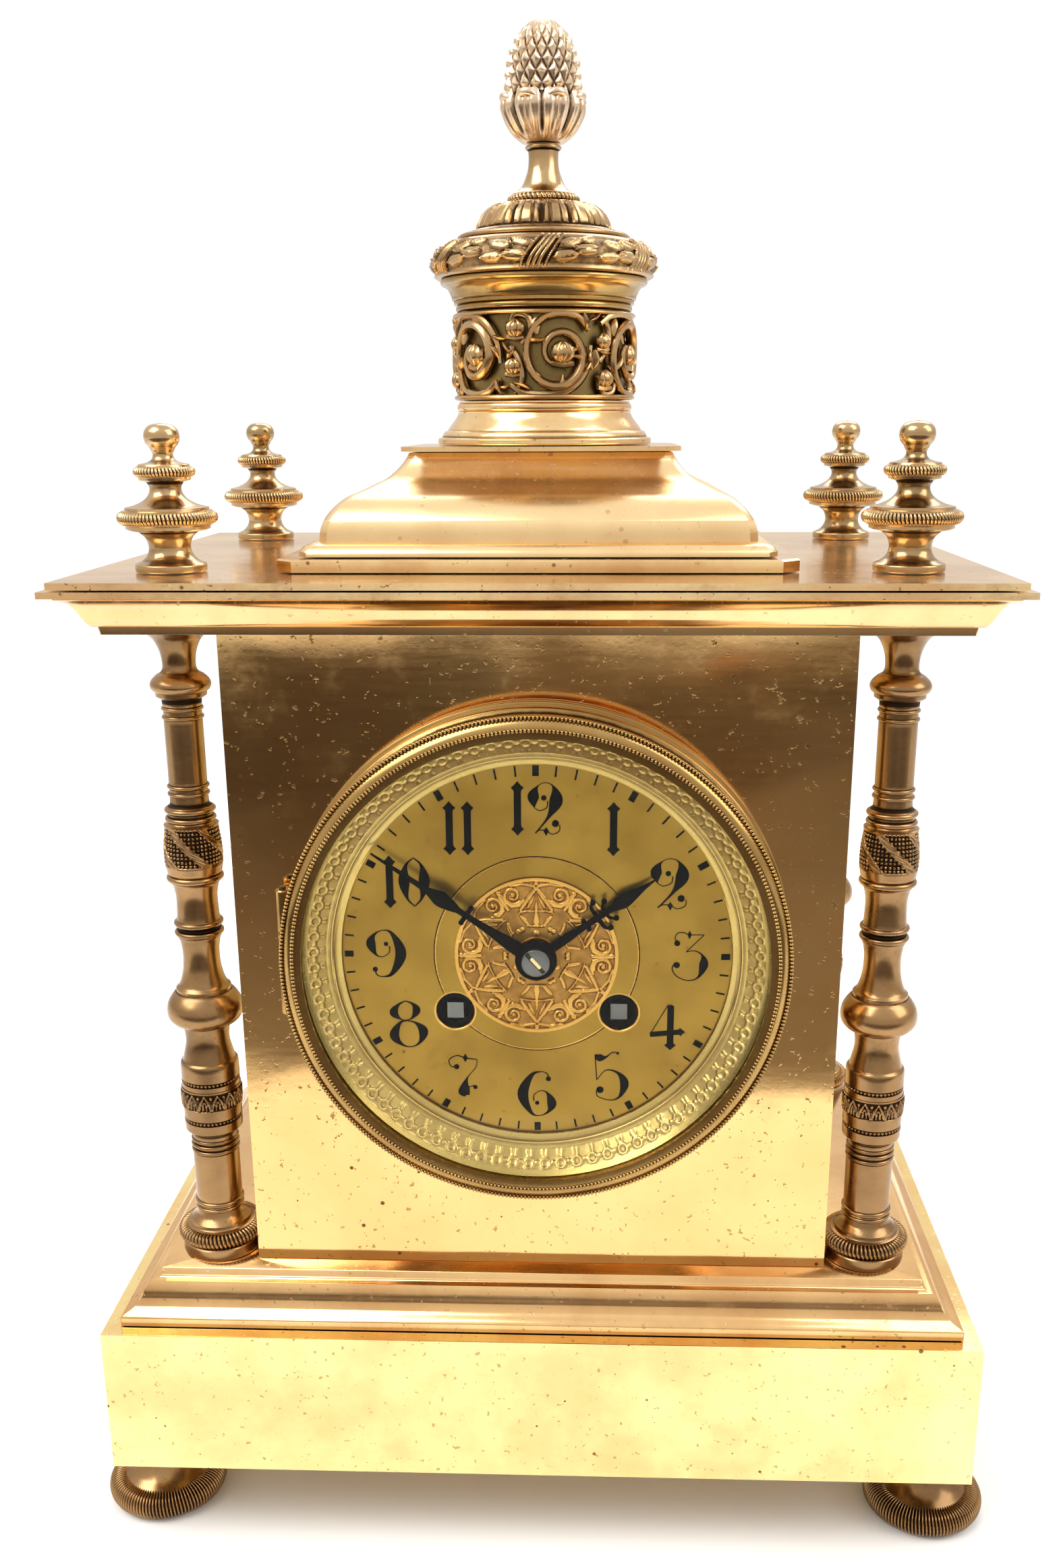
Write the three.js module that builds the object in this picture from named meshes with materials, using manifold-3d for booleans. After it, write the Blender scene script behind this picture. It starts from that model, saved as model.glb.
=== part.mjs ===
// Brass mantel clock: a plate-sided case between four turned columns, on a stepped
// plinth with disc feet, under a cornice that carries a caddy top and a drum tower.
// Millimetres, +Z up, dial towards -Y, origin on the floor under the middle of the clock.
import * as THREE from 'three';
import { mergeVertices } from 'three/addons/utils/BufferGeometryUtils.js';
import Module from 'manifold-3d';

const wasm = await Module();
wasm.setup();

// ---- driving dimensions ------------------------------------------------------------
const GAP = 0.3; // clearance between touching pieces
const ROUND = { large: 32, tower: 18, foot: 12, column: 10, finial: 8 }; // facets per turn

const FOOT = { x: 116, y: 57, tube: 4.3, ring: 13.5, height: 25.5 };
const BASE = { x: 124.1, y: 79.7, top: 69.7, skin: 2 };
const DECK = { x: 108.1, y: 69.2, z: 85.4 }; // flat top of the base moulding
const CASE = { x: 81.2, y: 63.8, skin: 1.8 };
const CORNICE = { bottom: 266.9, top: 276.8 };
const PLATE = { x: 118.4, y: 85.4, t: 1.6 }; // overhanging plate on the cornice
const TOP = { x: 116.6, y: 83.6, z: 280.4 }; // top plate, up to height z
const CADDY = { plinth: 3.4, step: 3.6, ogee: 21.6, chamfer: 4.6, cap: 1.5 };
const POST = { x: 93.8, y: 55.2 }; // axes of the columns and of the corner finials

const DIAL_Z = 182; // height of the dial centre
const DIAL_RADIUS = 57;
const DIAL_DEPTH = 5.7; // dial face in front of the case front
const BEZEL = { flange: 67.1, radius: 66.4, glass: 62, sight: 51.5 };
const HINGE = { radius: 2, pin: 0.9, drop: 17.5, out: 2.6 }; // drop: half the hinge's length
const BEZEL_HINGE_X = -66.9;
const DOOR = { radius: 58, hole: 54, hingeX: 61.5 };
const FRONT = -CASE.y; // plane of the case front
const BACK = CASE.y; // plane of the case back

const MOVEMENT = { radius: 45, front: -58, back: -24, plate: 2 };
const WINDING = { x: 21.9, drop: 16.1, hole: 5.45, square: 2.2 }; // winding arbors, below the dial centre
const BARREL = { radius: 16, depth: 15 };
const MOTION = { hourY: -66.2, minuteY: -62.3 }; // planes of the motion work wheels
const BEAT_Z = DIAL_Z + 38; // pendulum suspension and pallet arbor
const ESCAPE_Z = DIAL_Z + 22.5;
const PENDULUM = { y: -12, length: 106, bob: 15 };
const BELL = { radius: 33, rim: 10, depth: 17 };
const MINUTE_ANGLE = 304; // degrees clockwise from twelve, hands at ten to two
const HOUR_ANGLE = 55.3;

// ---- finishes ----------------------------------------------------------------------
const finish = (color, roughness, metalness) => (
  () => new THREE.MeshStandardMaterial({ color, roughness, metalness })
);
const polished = finish(0xe0ac5c, 0.18, 1);
const antique = finish(0xb98a4e, 0.32, 1);
const cast = finish(0xa98450, 0.42, 1);
const gilt = finish(0xd9ab45, 0.45, 1);
const sleeveBrass = finish(0x8f8a45, 0.4, 1);
const steel = finish(0x8d9094, 0.3, 1);
const blued = finish(0x0c0d12, 0.35, 0.6);
const bellMetal = finish(0xb9b6a8, 0.25, 1);
const glass = () => new THREE.MeshStandardMaterial({
  color: 0xe6efe6,
  roughness: 0.03,
  metalness: 0,
  transparent: true,
  opacity: 0.3,
});

const clock = new THREE.Group();

function add(name, geometry, material) {
  const mesh = new THREE.Mesh(geometry, material());
  mesh.name = name;
  clock.add(mesh);
  return mesh;
}

// ---- solids ------------------------------------------------------------------------
// A closed geometry as a solid that can be joined and cut.
function solid(geometry) {
  const bare = geometry.clone();
  bare.deleteAttribute('normal');
  bare.deleteAttribute('uv');
  const merged = mergeVertices(bare, 1e-4);
  const triangles = [];
  const index = merged.index.array;
  for (let i = 0; i < index.length; i += 3) {
    const [a, b, c] = [index[i], index[i + 1], index[i + 2]];
    if (a !== b && b !== c && c !== a) triangles.push(a, b, c);
  }
  return new wasm.Manifold(new wasm.Mesh({
    numProp: 3,
    vertProperties: new Float32Array(merged.attributes.position.array),
    triVerts: new Uint32Array(triangles),
  }));
}

function surface(manifold) {
  const mesh = manifold.getMesh();
  const geometry = new THREE.BufferGeometry();
  geometry.setAttribute('position', new THREE.BufferAttribute(mesh.vertProperties, 3));
  geometry.setIndex(new THREE.BufferAttribute(mesh.triVerts, 1));
  geometry.computeVertexNormals();
  return geometry;
}

const join = (...parts) => surface(parts.map(solid).reduce((a, b) => a.add(b)));
const cut = (body, ...tools) => (
  surface(tools.map(solid).reduce((a, b) => a.subtract(b), solid(body)))
);

function block(x0, x1, y0, y1, z0, z1) {
  return new THREE.BoxGeometry(x1 - x0, y1 - y0, z1 - z0)
    .translate((x0 + x1) / 2, (y0 + y1) / 2, (z0 + z1) / 2);
}

// A turned piece about Z from a profile of [radius, height] points.
function turned(profile, segments, z = 0) {
  const points = profile.map(([r, h]) => new THREE.Vector2(r, h));
  return new THREE.LatheGeometry(points, segments).rotateX(Math.PI / 2).translate(0, 0, z);
}

// A turned piece about an axis along Y, from [radius, distance out of plane y]; forward
// pieces face -Y, the others face +Y.
function faced(profile, segments, y, forward = true, x = 0, z = DIAL_Z) {
  const points = profile.map(([r, d]) => new THREE.Vector2(r, d));
  const geometry = new THREE.LatheGeometry(points, segments);
  if (forward) geometry.rotateX(Math.PI);
  return geometry.translate(x, y, z);
}

// A rod along Y between two planes.
function rodY(radius, y0, y1, x, z, segments = 10) {
  return faced([[0, 0], [radius, 0], [radius, y1 - y0], [0, y1 - y0]], segments, y0, false, x, z);
}

function rodZ(radius, z0, z1, x, y, segments = 10) {
  return new THREE.CylinderGeometry(radius, radius, z1 - z0, segments)
    .rotateX(Math.PI / 2).translate(x, y, (z0 + z1) / 2);
}

// Rings of a closed profile: a tube section from inner to outer radius.
const ring = (inner, outer, d0, d1) => [
  [outer, d0], [outer, d1], [inner, d1], [inner, d0], [outer, d0],
];
const disc = (radius, d0, d1) => [[0, d0], [radius, d0], [radius, d1], [0, d1]];

// A mitred moulding: rectangles of half-size [x, y] stacked at heights z, each corner
// cut off by the chamfer.
function moulding(levels, chamfer = 0) {
  const vertices = [];
  const index = [];
  const corners = chamfer > 0 ? 8 : 4;
  for (const [x, y, z] of levels) {
    const c = chamfer;
    const outline = chamfer > 0
      ? [[x, c - y], [x, y - c], [x - c, y], [c - x, y], [-x, y - c], [-x, c - y], [c - x, -y],
        [x - c, -y]]
      : [[x, -y], [x, y], [-x, y], [-x, -y]];
    for (const [px, py] of outline) vertices.push(px, py, z);
  }
  for (let level = 0; level + 1 < levels.length; level += 1) {
    for (let i = 0; i < corners; i += 1) {
      const a = level * corners + i;
      const b = level * corners + ((i + 1) % corners);
      index.push(a, b, b + corners, a, b + corners, a + corners);
    }
  }
  const last = (levels.length - 1) * corners;
  for (let i = 1; i + 1 < corners; i += 1) {
    index.push(0, i + 1, i);
    index.push(last, last + i, last + i + 1);
  }
  const geometry = new THREE.BufferGeometry();
  geometry.setAttribute('position', new THREE.Float32BufferAttribute(vertices, 3));
  geometry.setIndex(index);
  geometry.computeVertexNormals();
  return geometry;
}

// A flat piece in the dial plane, cut from an outline and lying between two planes.
function flat(shape, y0, y1, x = 0, z = DIAL_Z) {
  return new THREE.ExtrudeGeometry(shape, { depth: y1 - y0, bevelEnabled: false, curveSegments: 2 })
    .rotateX(Math.PI / 2).translate(x, y1, z);
}

function outline(points) {
  return new THREE.Shape(points.map(([x, z]) => new THREE.Vector2(x, z)));
}

function toothed(radius, root, teeth) {
  const points = [];
  for (let i = 0; i < teeth * 2; i += 1) {
    const angle = (i * Math.PI) / teeth;
    const r = i % 2 ? root : radius;
    points.push([r * Math.cos(angle), r * Math.sin(angle)]);
  }
  return outline(points);
}

// A crossed-out wheel: a toothed rim, four arms and a hub.
function wheelShape(radius, teeth) {
  const shape = toothed(radius, radius - 1, teeth);
  const rim = radius - 3;
  const hub = Math.min(3, rim * 0.4);
  for (let arm = 0; arm < 4; arm += 1) {
    const hole = new THREE.Path();
    const from = (arm * Math.PI) / 2 + 0.22;
    const to = ((arm + 1) * Math.PI) / 2 - 0.22;
    hole.absarc(0, 0, rim, from, to, false);
    hole.absarc(0, 0, hub, to, from, true);
    hole.closePath();
    shape.holes.push(hole);
  }
  return shape;
}

// ---- base --------------------------------------------------------------------------
function buildBase() {
  const { x, y, top, skin } = BASE;
  const bottom = FOOT.height;
  const shell = block(-x, x, -y, y, bottom, top);
  const hollow = block(skin - x, x - skin, skin - y, y - skin, bottom - 1, top - skin);
  add('base_box', cut(shell, hollow), polished);

  const foot = top + GAP;
  const levels = [
    [119.5, 75.4, foot],
    [119.5, 75.4, 72.6],
    [118.2, 74.6, 73.5],
    [115.9, 73.1, 75],
    [114.3, 72.3, 76.9],
    [113.4, 71.9, 79],
    [112.4, 71.3, 80.8],
    [111.2, 70.7, 82],
    [109.5, 70, 82.6],
    [108.5, 69.5, 83.1],
    [DECK.x, DECK.y, 83.6],
    [DECK.x, DECK.y, DECK.z],
  ];
  const recess = block(-104, 104, -64, 64, top, DECK.z - 3);
  add('base_moulding', cut(moulding(levels), recess), polished);
}

function buildFeet() {
  const { x, y, tube, ring: radius, height } = FOOT;
  const profile = [[0, 0], [radius, 0]];
  for (const degrees of [-60, -25, 10, 45, 80]) {
    const angle = THREE.MathUtils.degToRad(degrees);
    profile.push([radius + tube * Math.cos(angle), tube * (1 + Math.sin(angle))]);
  }
  profile.push([11, 9.2], [8, 12.5], [6.6, 17], [8.2, 21.5], [8.2, height - GAP]);
  profile.push([0, height - GAP]);
  for (const [side, sx] of [['left', -1], ['right', 1]]) {
    for (const [end, sy] of [['front', -1], ['rear', 1]]) {
      const foot = turned(profile, ROUND.foot).translate(sx * x, sy * y, 0);
      add(`foot_${end}_${side}`, foot, antique);
    }
  }
}

// ---- columns and corner finials ------------------------------------------------------
// Column heights are above the deck; the whole column fills the space up to the cornice.
const COLUMN_PROFILE = [
  [11.1, 0], [11.1, 3.3], [12, 5.8], [9.5, 8.2], [8, 10], [6.4, 12.5], [6.5, 36.8], [8, 38.5],
  [8.4, 47.9], [8, 59], [6, 65], [6.7, 70.7], [10.4, 74.6], [7.4, 80.6], [5, 91.4], [6.6, 97.6],
  [5.6, 107.5], [7.7, 113.5], [8, 120.5], [6.3, 128.2], [6.4, 133], [5.1, 134.2], [5.1, 162.3],
  [8.2, 166.4], [4.3, 171.2], [5.2, 176.6],
];
const FINIAL_PROFILE = [
  [8.9, 0], [8.9, 1.8], [5.4, 5.9], [10.7, 11.1], [12.7, 13.3], [10.4, 15.8], [4, 18.9],
  [6.5, 22.8], [7.8, 24.5], [6.3, 26.3], [2.5, 28.3], [4.1, 31.2], [4.3, 33.1], [2.6, 35.6],
];

function buildPosts() {
  const columnTop = CORNICE.bottom - DECK.z - 2 * GAP;
  const column = [[0, 0], ...COLUMN_PROFILE, [8.2, columnTop], [0, columnTop]];
  const finial = [[0, 0], ...FINIAL_PROFILE, [0, 36.2]];
  for (const [side, sx] of [['left', -1], ['right', 1]]) {
    for (const [end, sy] of [['front', -1], ['rear', 1]]) {
      const shaft = turned(column, ROUND.column, DECK.z + GAP).translate(sx * POST.x, sy * POST.y, 0);
      add(`column_${end}_${side}`, shaft, antique);
      const knob = turned(finial, ROUND.finial, TOP.z + GAP).translate(sx * POST.x, sy * POST.y, 0);
      add(`corner_finial_${end}_${side}`, knob, antique);
    }
  }
}

// ---- case ----------------------------------------------------------------------------
// Knuckles of a hinge along Z at (x, y): two on the fixed leaf, one on the moving leaf.
function knuckles(x, y, moving) {
  const { radius, drop } = HINGE;
  const third = (2 * drop) / 3;
  const low = DIAL_Z - drop;
  if (moving) return [rodZ(radius, low + third + GAP, low + 2 * third - GAP, x, y)];
  return [rodZ(radius, low, low + third, x, y), rodZ(radius, low + 2 * third, low + 3 * third, x, y)];
}

// Middle heights of the two fixed knuckles.
const leafHeights = () => [-1, 1].map((end) => DIAL_Z + (end * 2 * HINGE.drop) / 3);

const pinHole = (x, y) => (
  rodZ(HINGE.pin + GAP, DIAL_Z - HINGE.drop - 2, DIAL_Z + HINGE.drop + 2, x, y)
);
const hingePin = (x, y) => (
  rodZ(HINGE.pin, DIAL_Z - HINGE.drop - 0.8, DIAL_Z + HINGE.drop + 0.8, x, y)
);

function buildCase() {
  const { x, y, skin } = CASE;
  const low = DECK.z + GAP;
  const high = CORNICE.bottom - GAP;
  const front = block(-x, x, -y, skin - y, low, high);
  const frontHole = rodY(60, -y - 1, skin + 1 - y, 0, DIAL_Z, ROUND.large);
  add('case_front', cut(front, frontHole), polished);

  const back = block(-x, x, y - skin, y, low, high);
  const backHole = rodY(DOOR.hole, y - skin - 1, y + 1, 0, DIAL_Z, ROUND.large);
  const hingeY = BACK + HINGE.out;
  const fixed = knuckles(DOOR.hingeX, hingeY, false);
  const leaves = leafHeights().map((z) => (
    block(DOOR.hingeX - 1, DOOR.hingeX + 1.6, y - 0.5, hingeY, z - 5, z + 5)
  ));
  const backPlate = cut(join(back, ...leaves, ...fixed), backHole, pinHole(DOOR.hingeX, hingeY));
  add('case_back', backPlate, polished);

  for (const [side, sign] of [['left', -1], ['right', 1]]) {
    const wall = block(-skin / 2, skin / 2, skin + GAP - y, y - skin - GAP, low, high);
    add(`case_side_${side}`, wall.translate(sign * (x - skin / 2), 0, 0), polished);
  }
}

function buildBackDoor() {
  const hingeY = BACK + HINGE.out;
  const panel = faced([
    [0, 0.6], [DOOR.radius, 0.6], [DOOR.radius, 2.4], [DOOR.radius - 4, 3.6], [0, 3.6],
  ], ROUND.large, BACK, false);
  const leaf = block(DOOR.radius - 6, DOOR.hingeX, hingeY - 1, hingeY + 1, DIAL_Z - 5, DIAL_Z + 5);
  const knob = faced([[0, 3], [2, 3], [1.6, 6], [3.6, 8], [3.6, 10], [0, 11]], 16, BACK, false, -46);
  const moving = knuckles(DOOR.hingeX, hingeY, true);
  const body = cut(join(panel, leaf, knob, ...moving), pinHole(DOOR.hingeX, hingeY));
  add('back_door', body, polished);
  add('back_door_pin', hingePin(DOOR.hingeX, hingeY), steel);
}

// ---- cornice and caddy -----------------------------------------------------------------
function buildCornice() {
  const { bottom, top } = CORNICE;
  const levels = [
    [107.4, 74.5, bottom],
    [107.9, 75, 269],
    [109.8, 76.8, 269.9],
    [110.9, 77.9, 271],
    [111.7, 78.7, 272.2],
    [112.7, 79.7, 273.6],
    [113.9, 80.9, 274.9],
    [115.6, 82.6, 276.2],
    [115.6, 82.6, top - GAP],
  ];
  const recess = block(-103, 103, -70, 70, bottom + 2.5, top + 1);
  add('cornice_moulding', cut(moulding(levels), recess), polished);
  add('cornice_plate', block(-PLATE.x, PLATE.x, -PLATE.y, PLATE.y, top, top + PLATE.t), polished);
  const low = top + PLATE.t + GAP;
  add('top_plate', block(-TOP.x, TOP.x, -TOP.y, TOP.y, low, TOP.z), polished);
}

function buildCaddy() {
  const c = CADDY.chamfer;
  const z0 = TOP.z + GAP;
  const z1 = TOP.z + CADDY.plinth;
  const plinth = [[66.2, 61.7, z0], [66.2, 61.7, z1 - 0.4], [65.7, 61.2, z1]];
  add('caddy_plinth', moulding(plinth, c), polished);

  // The ogee bulges above the step, then sweeps in to the neck.
  const base = { x: 56.4, y: 52, z: z1 + CADDY.step };
  const neck = { x: 35, y: 31.4 };
  const rise = [
    [0, 0], [0.02, 0.13], [0.06, 0.23], [0.12, 0.33], [0.2, 0.42], [0.3, 0.495], [0.47, 0.57],
    [0.61, 0.635], [0.74, 0.7], [0.845, 0.785], [0.93, 0.88], [1, 1],
  ];
  const levels = [
    [60.9, 56.4, z1 + GAP],
    [60.9, 56.4, z1 + 1.6],
    [59.9, 55.4, z1 + 2.9],
    [57.6, 53.1, base.z],
  ];
  for (const [inward, up] of rise) {
    const x = THREE.MathUtils.lerp(base.x, neck.x, inward);
    const y = THREE.MathUtils.lerp(base.y, neck.y, inward);
    levels.push([x, y, base.z + 0.1 + up * CADDY.ogee]);
  }
  const hollow = moulding([
    [54, 49.6, z1 - 1], [54, 49.6, z1 + 5], [49, 44.6, z1 + 11], [34, 29.6, z1 + 17.5],
    [31, 26.6, z1 + 22],
  ], 3);
  add('caddy_ogee', cut(moulding(levels, 2.2), hollow), polished);

  const top = base.z + 0.1 + CADDY.ogee;
  const cap = moulding([[37.3, 33.6, top + GAP], [37.3, 33.6, top + CADDY.cap]], 5.2);
  add('caddy_cap', cap, polished);
  return top + CADDY.cap;
}

// ---- tower -----------------------------------------------------------------------------
// Profiles are [radius, height above the caddy cap].
function buildTower(z) {
  const piece = (name, profile, material, segments = ROUND.tower) => (
    add(name, turned(profile, segments, z), material)
  );
  piece('tower_foot', [
    [0, 0.3], [30.1, 0.3], [30.1, 2], [28.8, 2.8], [27.1, 4.5], [25.5, 6.8], [24.1, 9],
    [24.1, 11.7], [0, 11.7],
  ], polished);
  piece('tower_sleeve', ring(20.5, 22.5, 12, 34.8), sleeveBrass);
  piece('frieze_band', ring(22.9, 25.2, 12, 34.8), cast);
  piece('tower_collar', [
    [0, 35.1], [24.3, 35.1], [24.3, 36.9], [25.2, 38.4], [26.2, 40.2], [28, 42.3], [28.6, 43.4],
    [0, 43.4],
  ], polished);
  piece('laurel_ring', [
    [20, 43.7], [29.8, 43.7], [31.5, 46], [30.6, 49.4], [28.2, 51.8], [25, 53], [20, 53],
    [20, 43.7],
  ], cast);
  piece('dome_cap', [
    [0, 43.7], [19.6, 43.7], [19.6, 53.3], [23.4, 53.3], [20.2, 55.5], [18.4, 57], [17, 59],
    [13.6, 61.8], [11.4, 62.7], [0, 62.7],
  ], cast);
  piece('finial_stem', [
    [0, 63], [9.6, 63], [9.6, 64.8], [6.8, 66.8], [4.8, 69.1], [4, 72.4], [4.4, 76.2], [5, 77.4],
    [0, 77.4],
  ], antique, 14);
  piece('pinecone', [
    [0, 77.7], [5.4, 77.7], [8, 80], [10.3, 83], [11.4, 86], [10.8, 89], [10.4, 93], [10, 96],
    [8.7, 100], [6.3, 104], [2.6, 106.8], [0, 107.7],
  ], cast, 14);
}

// ---- bezel and dial ----------------------------------------------------------------------
function buildBezel() {
  const hingeY = FRONT - 2 * HINGE.out;
  const seat = faced([
    [BEZEL.flange, GAP], [BEZEL.flange, 2.2], [60.6, 2.2], [60.6, 3.6], [57.6, 3.6],
    [57.6, -14], [59.2, -14], [59.2, GAP], [BEZEL.flange, GAP],
  ], ROUND.large, FRONT);
  const leaves = leafHeights().map((z) => (
    block(BEZEL_HINGE_X, BEZEL_HINGE_X + HINGE.radius, hingeY, FRONT - GAP, z - 5, z + 5)
  ));
  const slot = pinHole(BEZEL_HINGE_X, hingeY);
  const fixed = knuckles(BEZEL_HINGE_X, hingeY, false);
  add('bezel_seat', cut(join(seat, ...leaves, ...fixed), slot), polished);

  const rim = faced([
    [BEZEL.radius, 2.6], [BEZEL.radius, 6], [65, 7], [64.8, 13.6], [66.2, 15], [66.2, 17.4],
    [63.6, 18.8], [60.4, 18.2], [60.4, 16.6], [62.4, 16.6], [62.4, 2.6], [BEZEL.radius, 2.6],
  ], ROUND.large, FRONT);
  const notch = leafHeights().map((z) => {
    const half = HINGE.drop / 3 + GAP;
    const x = BEZEL_HINGE_X;
    return block(x - 3, x + HINGE.radius + 2 * GAP, hingeY - 3, FRONT, z - half, z + half);
  });
  const tongue = block(BEZEL_HINGE_X, -63.5, hingeY - 1, hingeY + 1, DIAL_Z - 5, DIAL_Z + 5);
  const moving = knuckles(BEZEL_HINGE_X, hingeY, true);
  add('bezel_rim', cut(join(rim, tongue, ...moving), slot, ...notch), polished);
  add('bezel_pin', hingePin(BEZEL_HINGE_X, hingeY), steel);

  const pane = faced([
    [0, 14.4], [BEZEL.glass, 14.4], [BEZEL.glass, 16.2], [60, 16.2], [52, 17.4], [0, 17.4],
  ], ROUND.large, FRONT);
  add('bezel_glass', pane, glass);
  const sight = faced([
    [BEZEL.glass, 13.6], [60.6, 13.6], [53.2, 7.6], [BEZEL.sight, 6.9], [BEZEL.sight, 6.1],
    [54, 6.6], [BEZEL.glass, 12.6], [BEZEL.glass, 13.6],
  ], ROUND.large, FRONT);
  add('sight_ring', sight, gilt);
}

function buildDial() {
  const face = FRONT - DIAL_DEPTH;
  const plate = faced(disc(DIAL_RADIUS, DIAL_DEPTH - 1, DIAL_DEPTH), ROUND.large, FRONT);
  const holes = [-1, 1].map((side) => (
    rodY(WINDING.hole, face - 2, face + 3, side * WINDING.x, DIAL_Z - WINDING.drop, 14)
  ));
  const centreHole = rodY(3.4, face - 1, face + 3, 0, DIAL_Z, 14);
  const footEnd = MOVEMENT.front - GAP;
  const feet = [30, 150, 270].map((degrees) => {
    const angle = THREE.MathUtils.degToRad(degrees);
    const x = 41 * Math.cos(angle);
    return rodY(1.8, face + 0.6, footEnd, x, DIAL_Z + 41 * Math.sin(angle), 10);
  });
  add('dial_plate', cut(join(plate, ...feet), centreHole, ...holes), gilt);
  const medallion = faced(ring(3.6, 21.6, DIAL_DEPTH + GAP, DIAL_DEPTH + 0.9), 24, FRONT);
  add('dial_medallion', cut(medallion, ...holes), gilt);
}

// Hands point to twelve when drawn, then turn clockwise to the time.
function buildHands() {
  const turn = (geometry, degrees) => geometry
    .translate(0, 0, -DIAL_Z)
    .rotateY(THREE.MathUtils.degToRad(degrees))
    .translate(0, 0, DIAL_Z);
  const minute = flat(outline([
    [-1.6, -2], [1.6, -2], [1.3, 20], [2.6, 24], [0.9, 30], [0.3, 51.3], [-0.3, 51.3],
    [-0.9, 30], [-2.6, 24], [-1.3, 20],
  ]), FRONT - 10.3, FRONT - 9.7);
  const boss = faced([[2.2, 9], [5.4, 9], [5.4, 10.6], [3.8, 11], [3.8, 12.4], [2.2, 12.4],
    [2.2, 9]], 16, FRONT);
  const hub = cut(join(turn(minute, MINUTE_ANGLE), boss), rodY(2.2, FRONT - 14, FRONT, 0, DIAL_Z, 16));
  add('minute_hand', hub, blued);
  const hour = flat(outline([
    [-1.8, -2], [1.8, -2], [1.4, 17], [4.4, 20.5], [1.5, 24], [2.4, 30], [0.3, 37.9],
    [-0.3, 37.9], [-2.4, 30], [-1.5, 24], [-4.4, 20.5], [-1.4, 17],
  ]), FRONT - 8.3, FRONT - 7.7);
  const collar = faced(ring(3.2, 5, 7, 8.6), 16, FRONT);
  const bore = rodY(3.2, FRONT - 12, FRONT, 0, DIAL_Z, 16);
  add('hour_hand', cut(join(turn(hour, HOUR_ANGLE), collar), bore), blued);
}

// ---- movement ----------------------------------------------------------------------------
const ARBORS = {
  centre: [0, 0],
  winding_right: [WINDING.x, -WINDING.drop],
  winding_left: [-WINDING.x, -WINDING.drop],
  motion: [8.6, 4.6],
  escape: [0, ESCAPE_Z - DIAL_Z],
  pallet: [0, BEAT_Z - DIAL_Z],
};
const PIVOT = {
  centre: 1.6,
  winding_right: 2.4,
  winding_left: 2.4,
  motion: 0.9,
  escape: 0.6,
  pallet: 0.8,
};

function pivotHoles(y0, y1, names) {
  return names.map((name) => {
    const [x, dz] = ARBORS[name];
    return rodY(PIVOT[name] + GAP, y0 - 1, y1 + 1, x, DIAL_Z + dz, 10);
  });
}

function buildPlates() {
  const { radius, front, back, plate } = MOVEMENT;
  const frontDisc = faced(disc(radius, 0, plate), 24, front, false);
  const frontHoles = pivotHoles(front, front + plate, Object.keys(ARBORS));
  add('movement_front_plate', cut(frontDisc, ...frontHoles), polished);

  const backDisc = faced(disc(radius, 0, plate), 24, back, false);
  const pillars = [30, 150, 250, 290].map((degrees) => {
    const angle = THREE.MathUtils.degToRad(degrees);
    const x = (radius - 3.2) * Math.cos(angle);
    const z = DIAL_Z + (radius - 3.2) * Math.sin(angle);
    return rodY(2.4, front + plate + GAP, back + 0.5, x, z, 10);
  });
  const cock = block(-5, 5, back + plate - 0.5, PENDULUM.y + 2, BEAT_Z + 3.2, BEAT_Z + 6);
  const through = Object.keys(ARBORS).filter((name) => name !== 'motion');
  const backHoles = pivotHoles(back, back + plate, through);
  add('movement_back_plate', cut(join(backDisc, ...pillars, cock), ...backHoles), polished);
}

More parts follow.
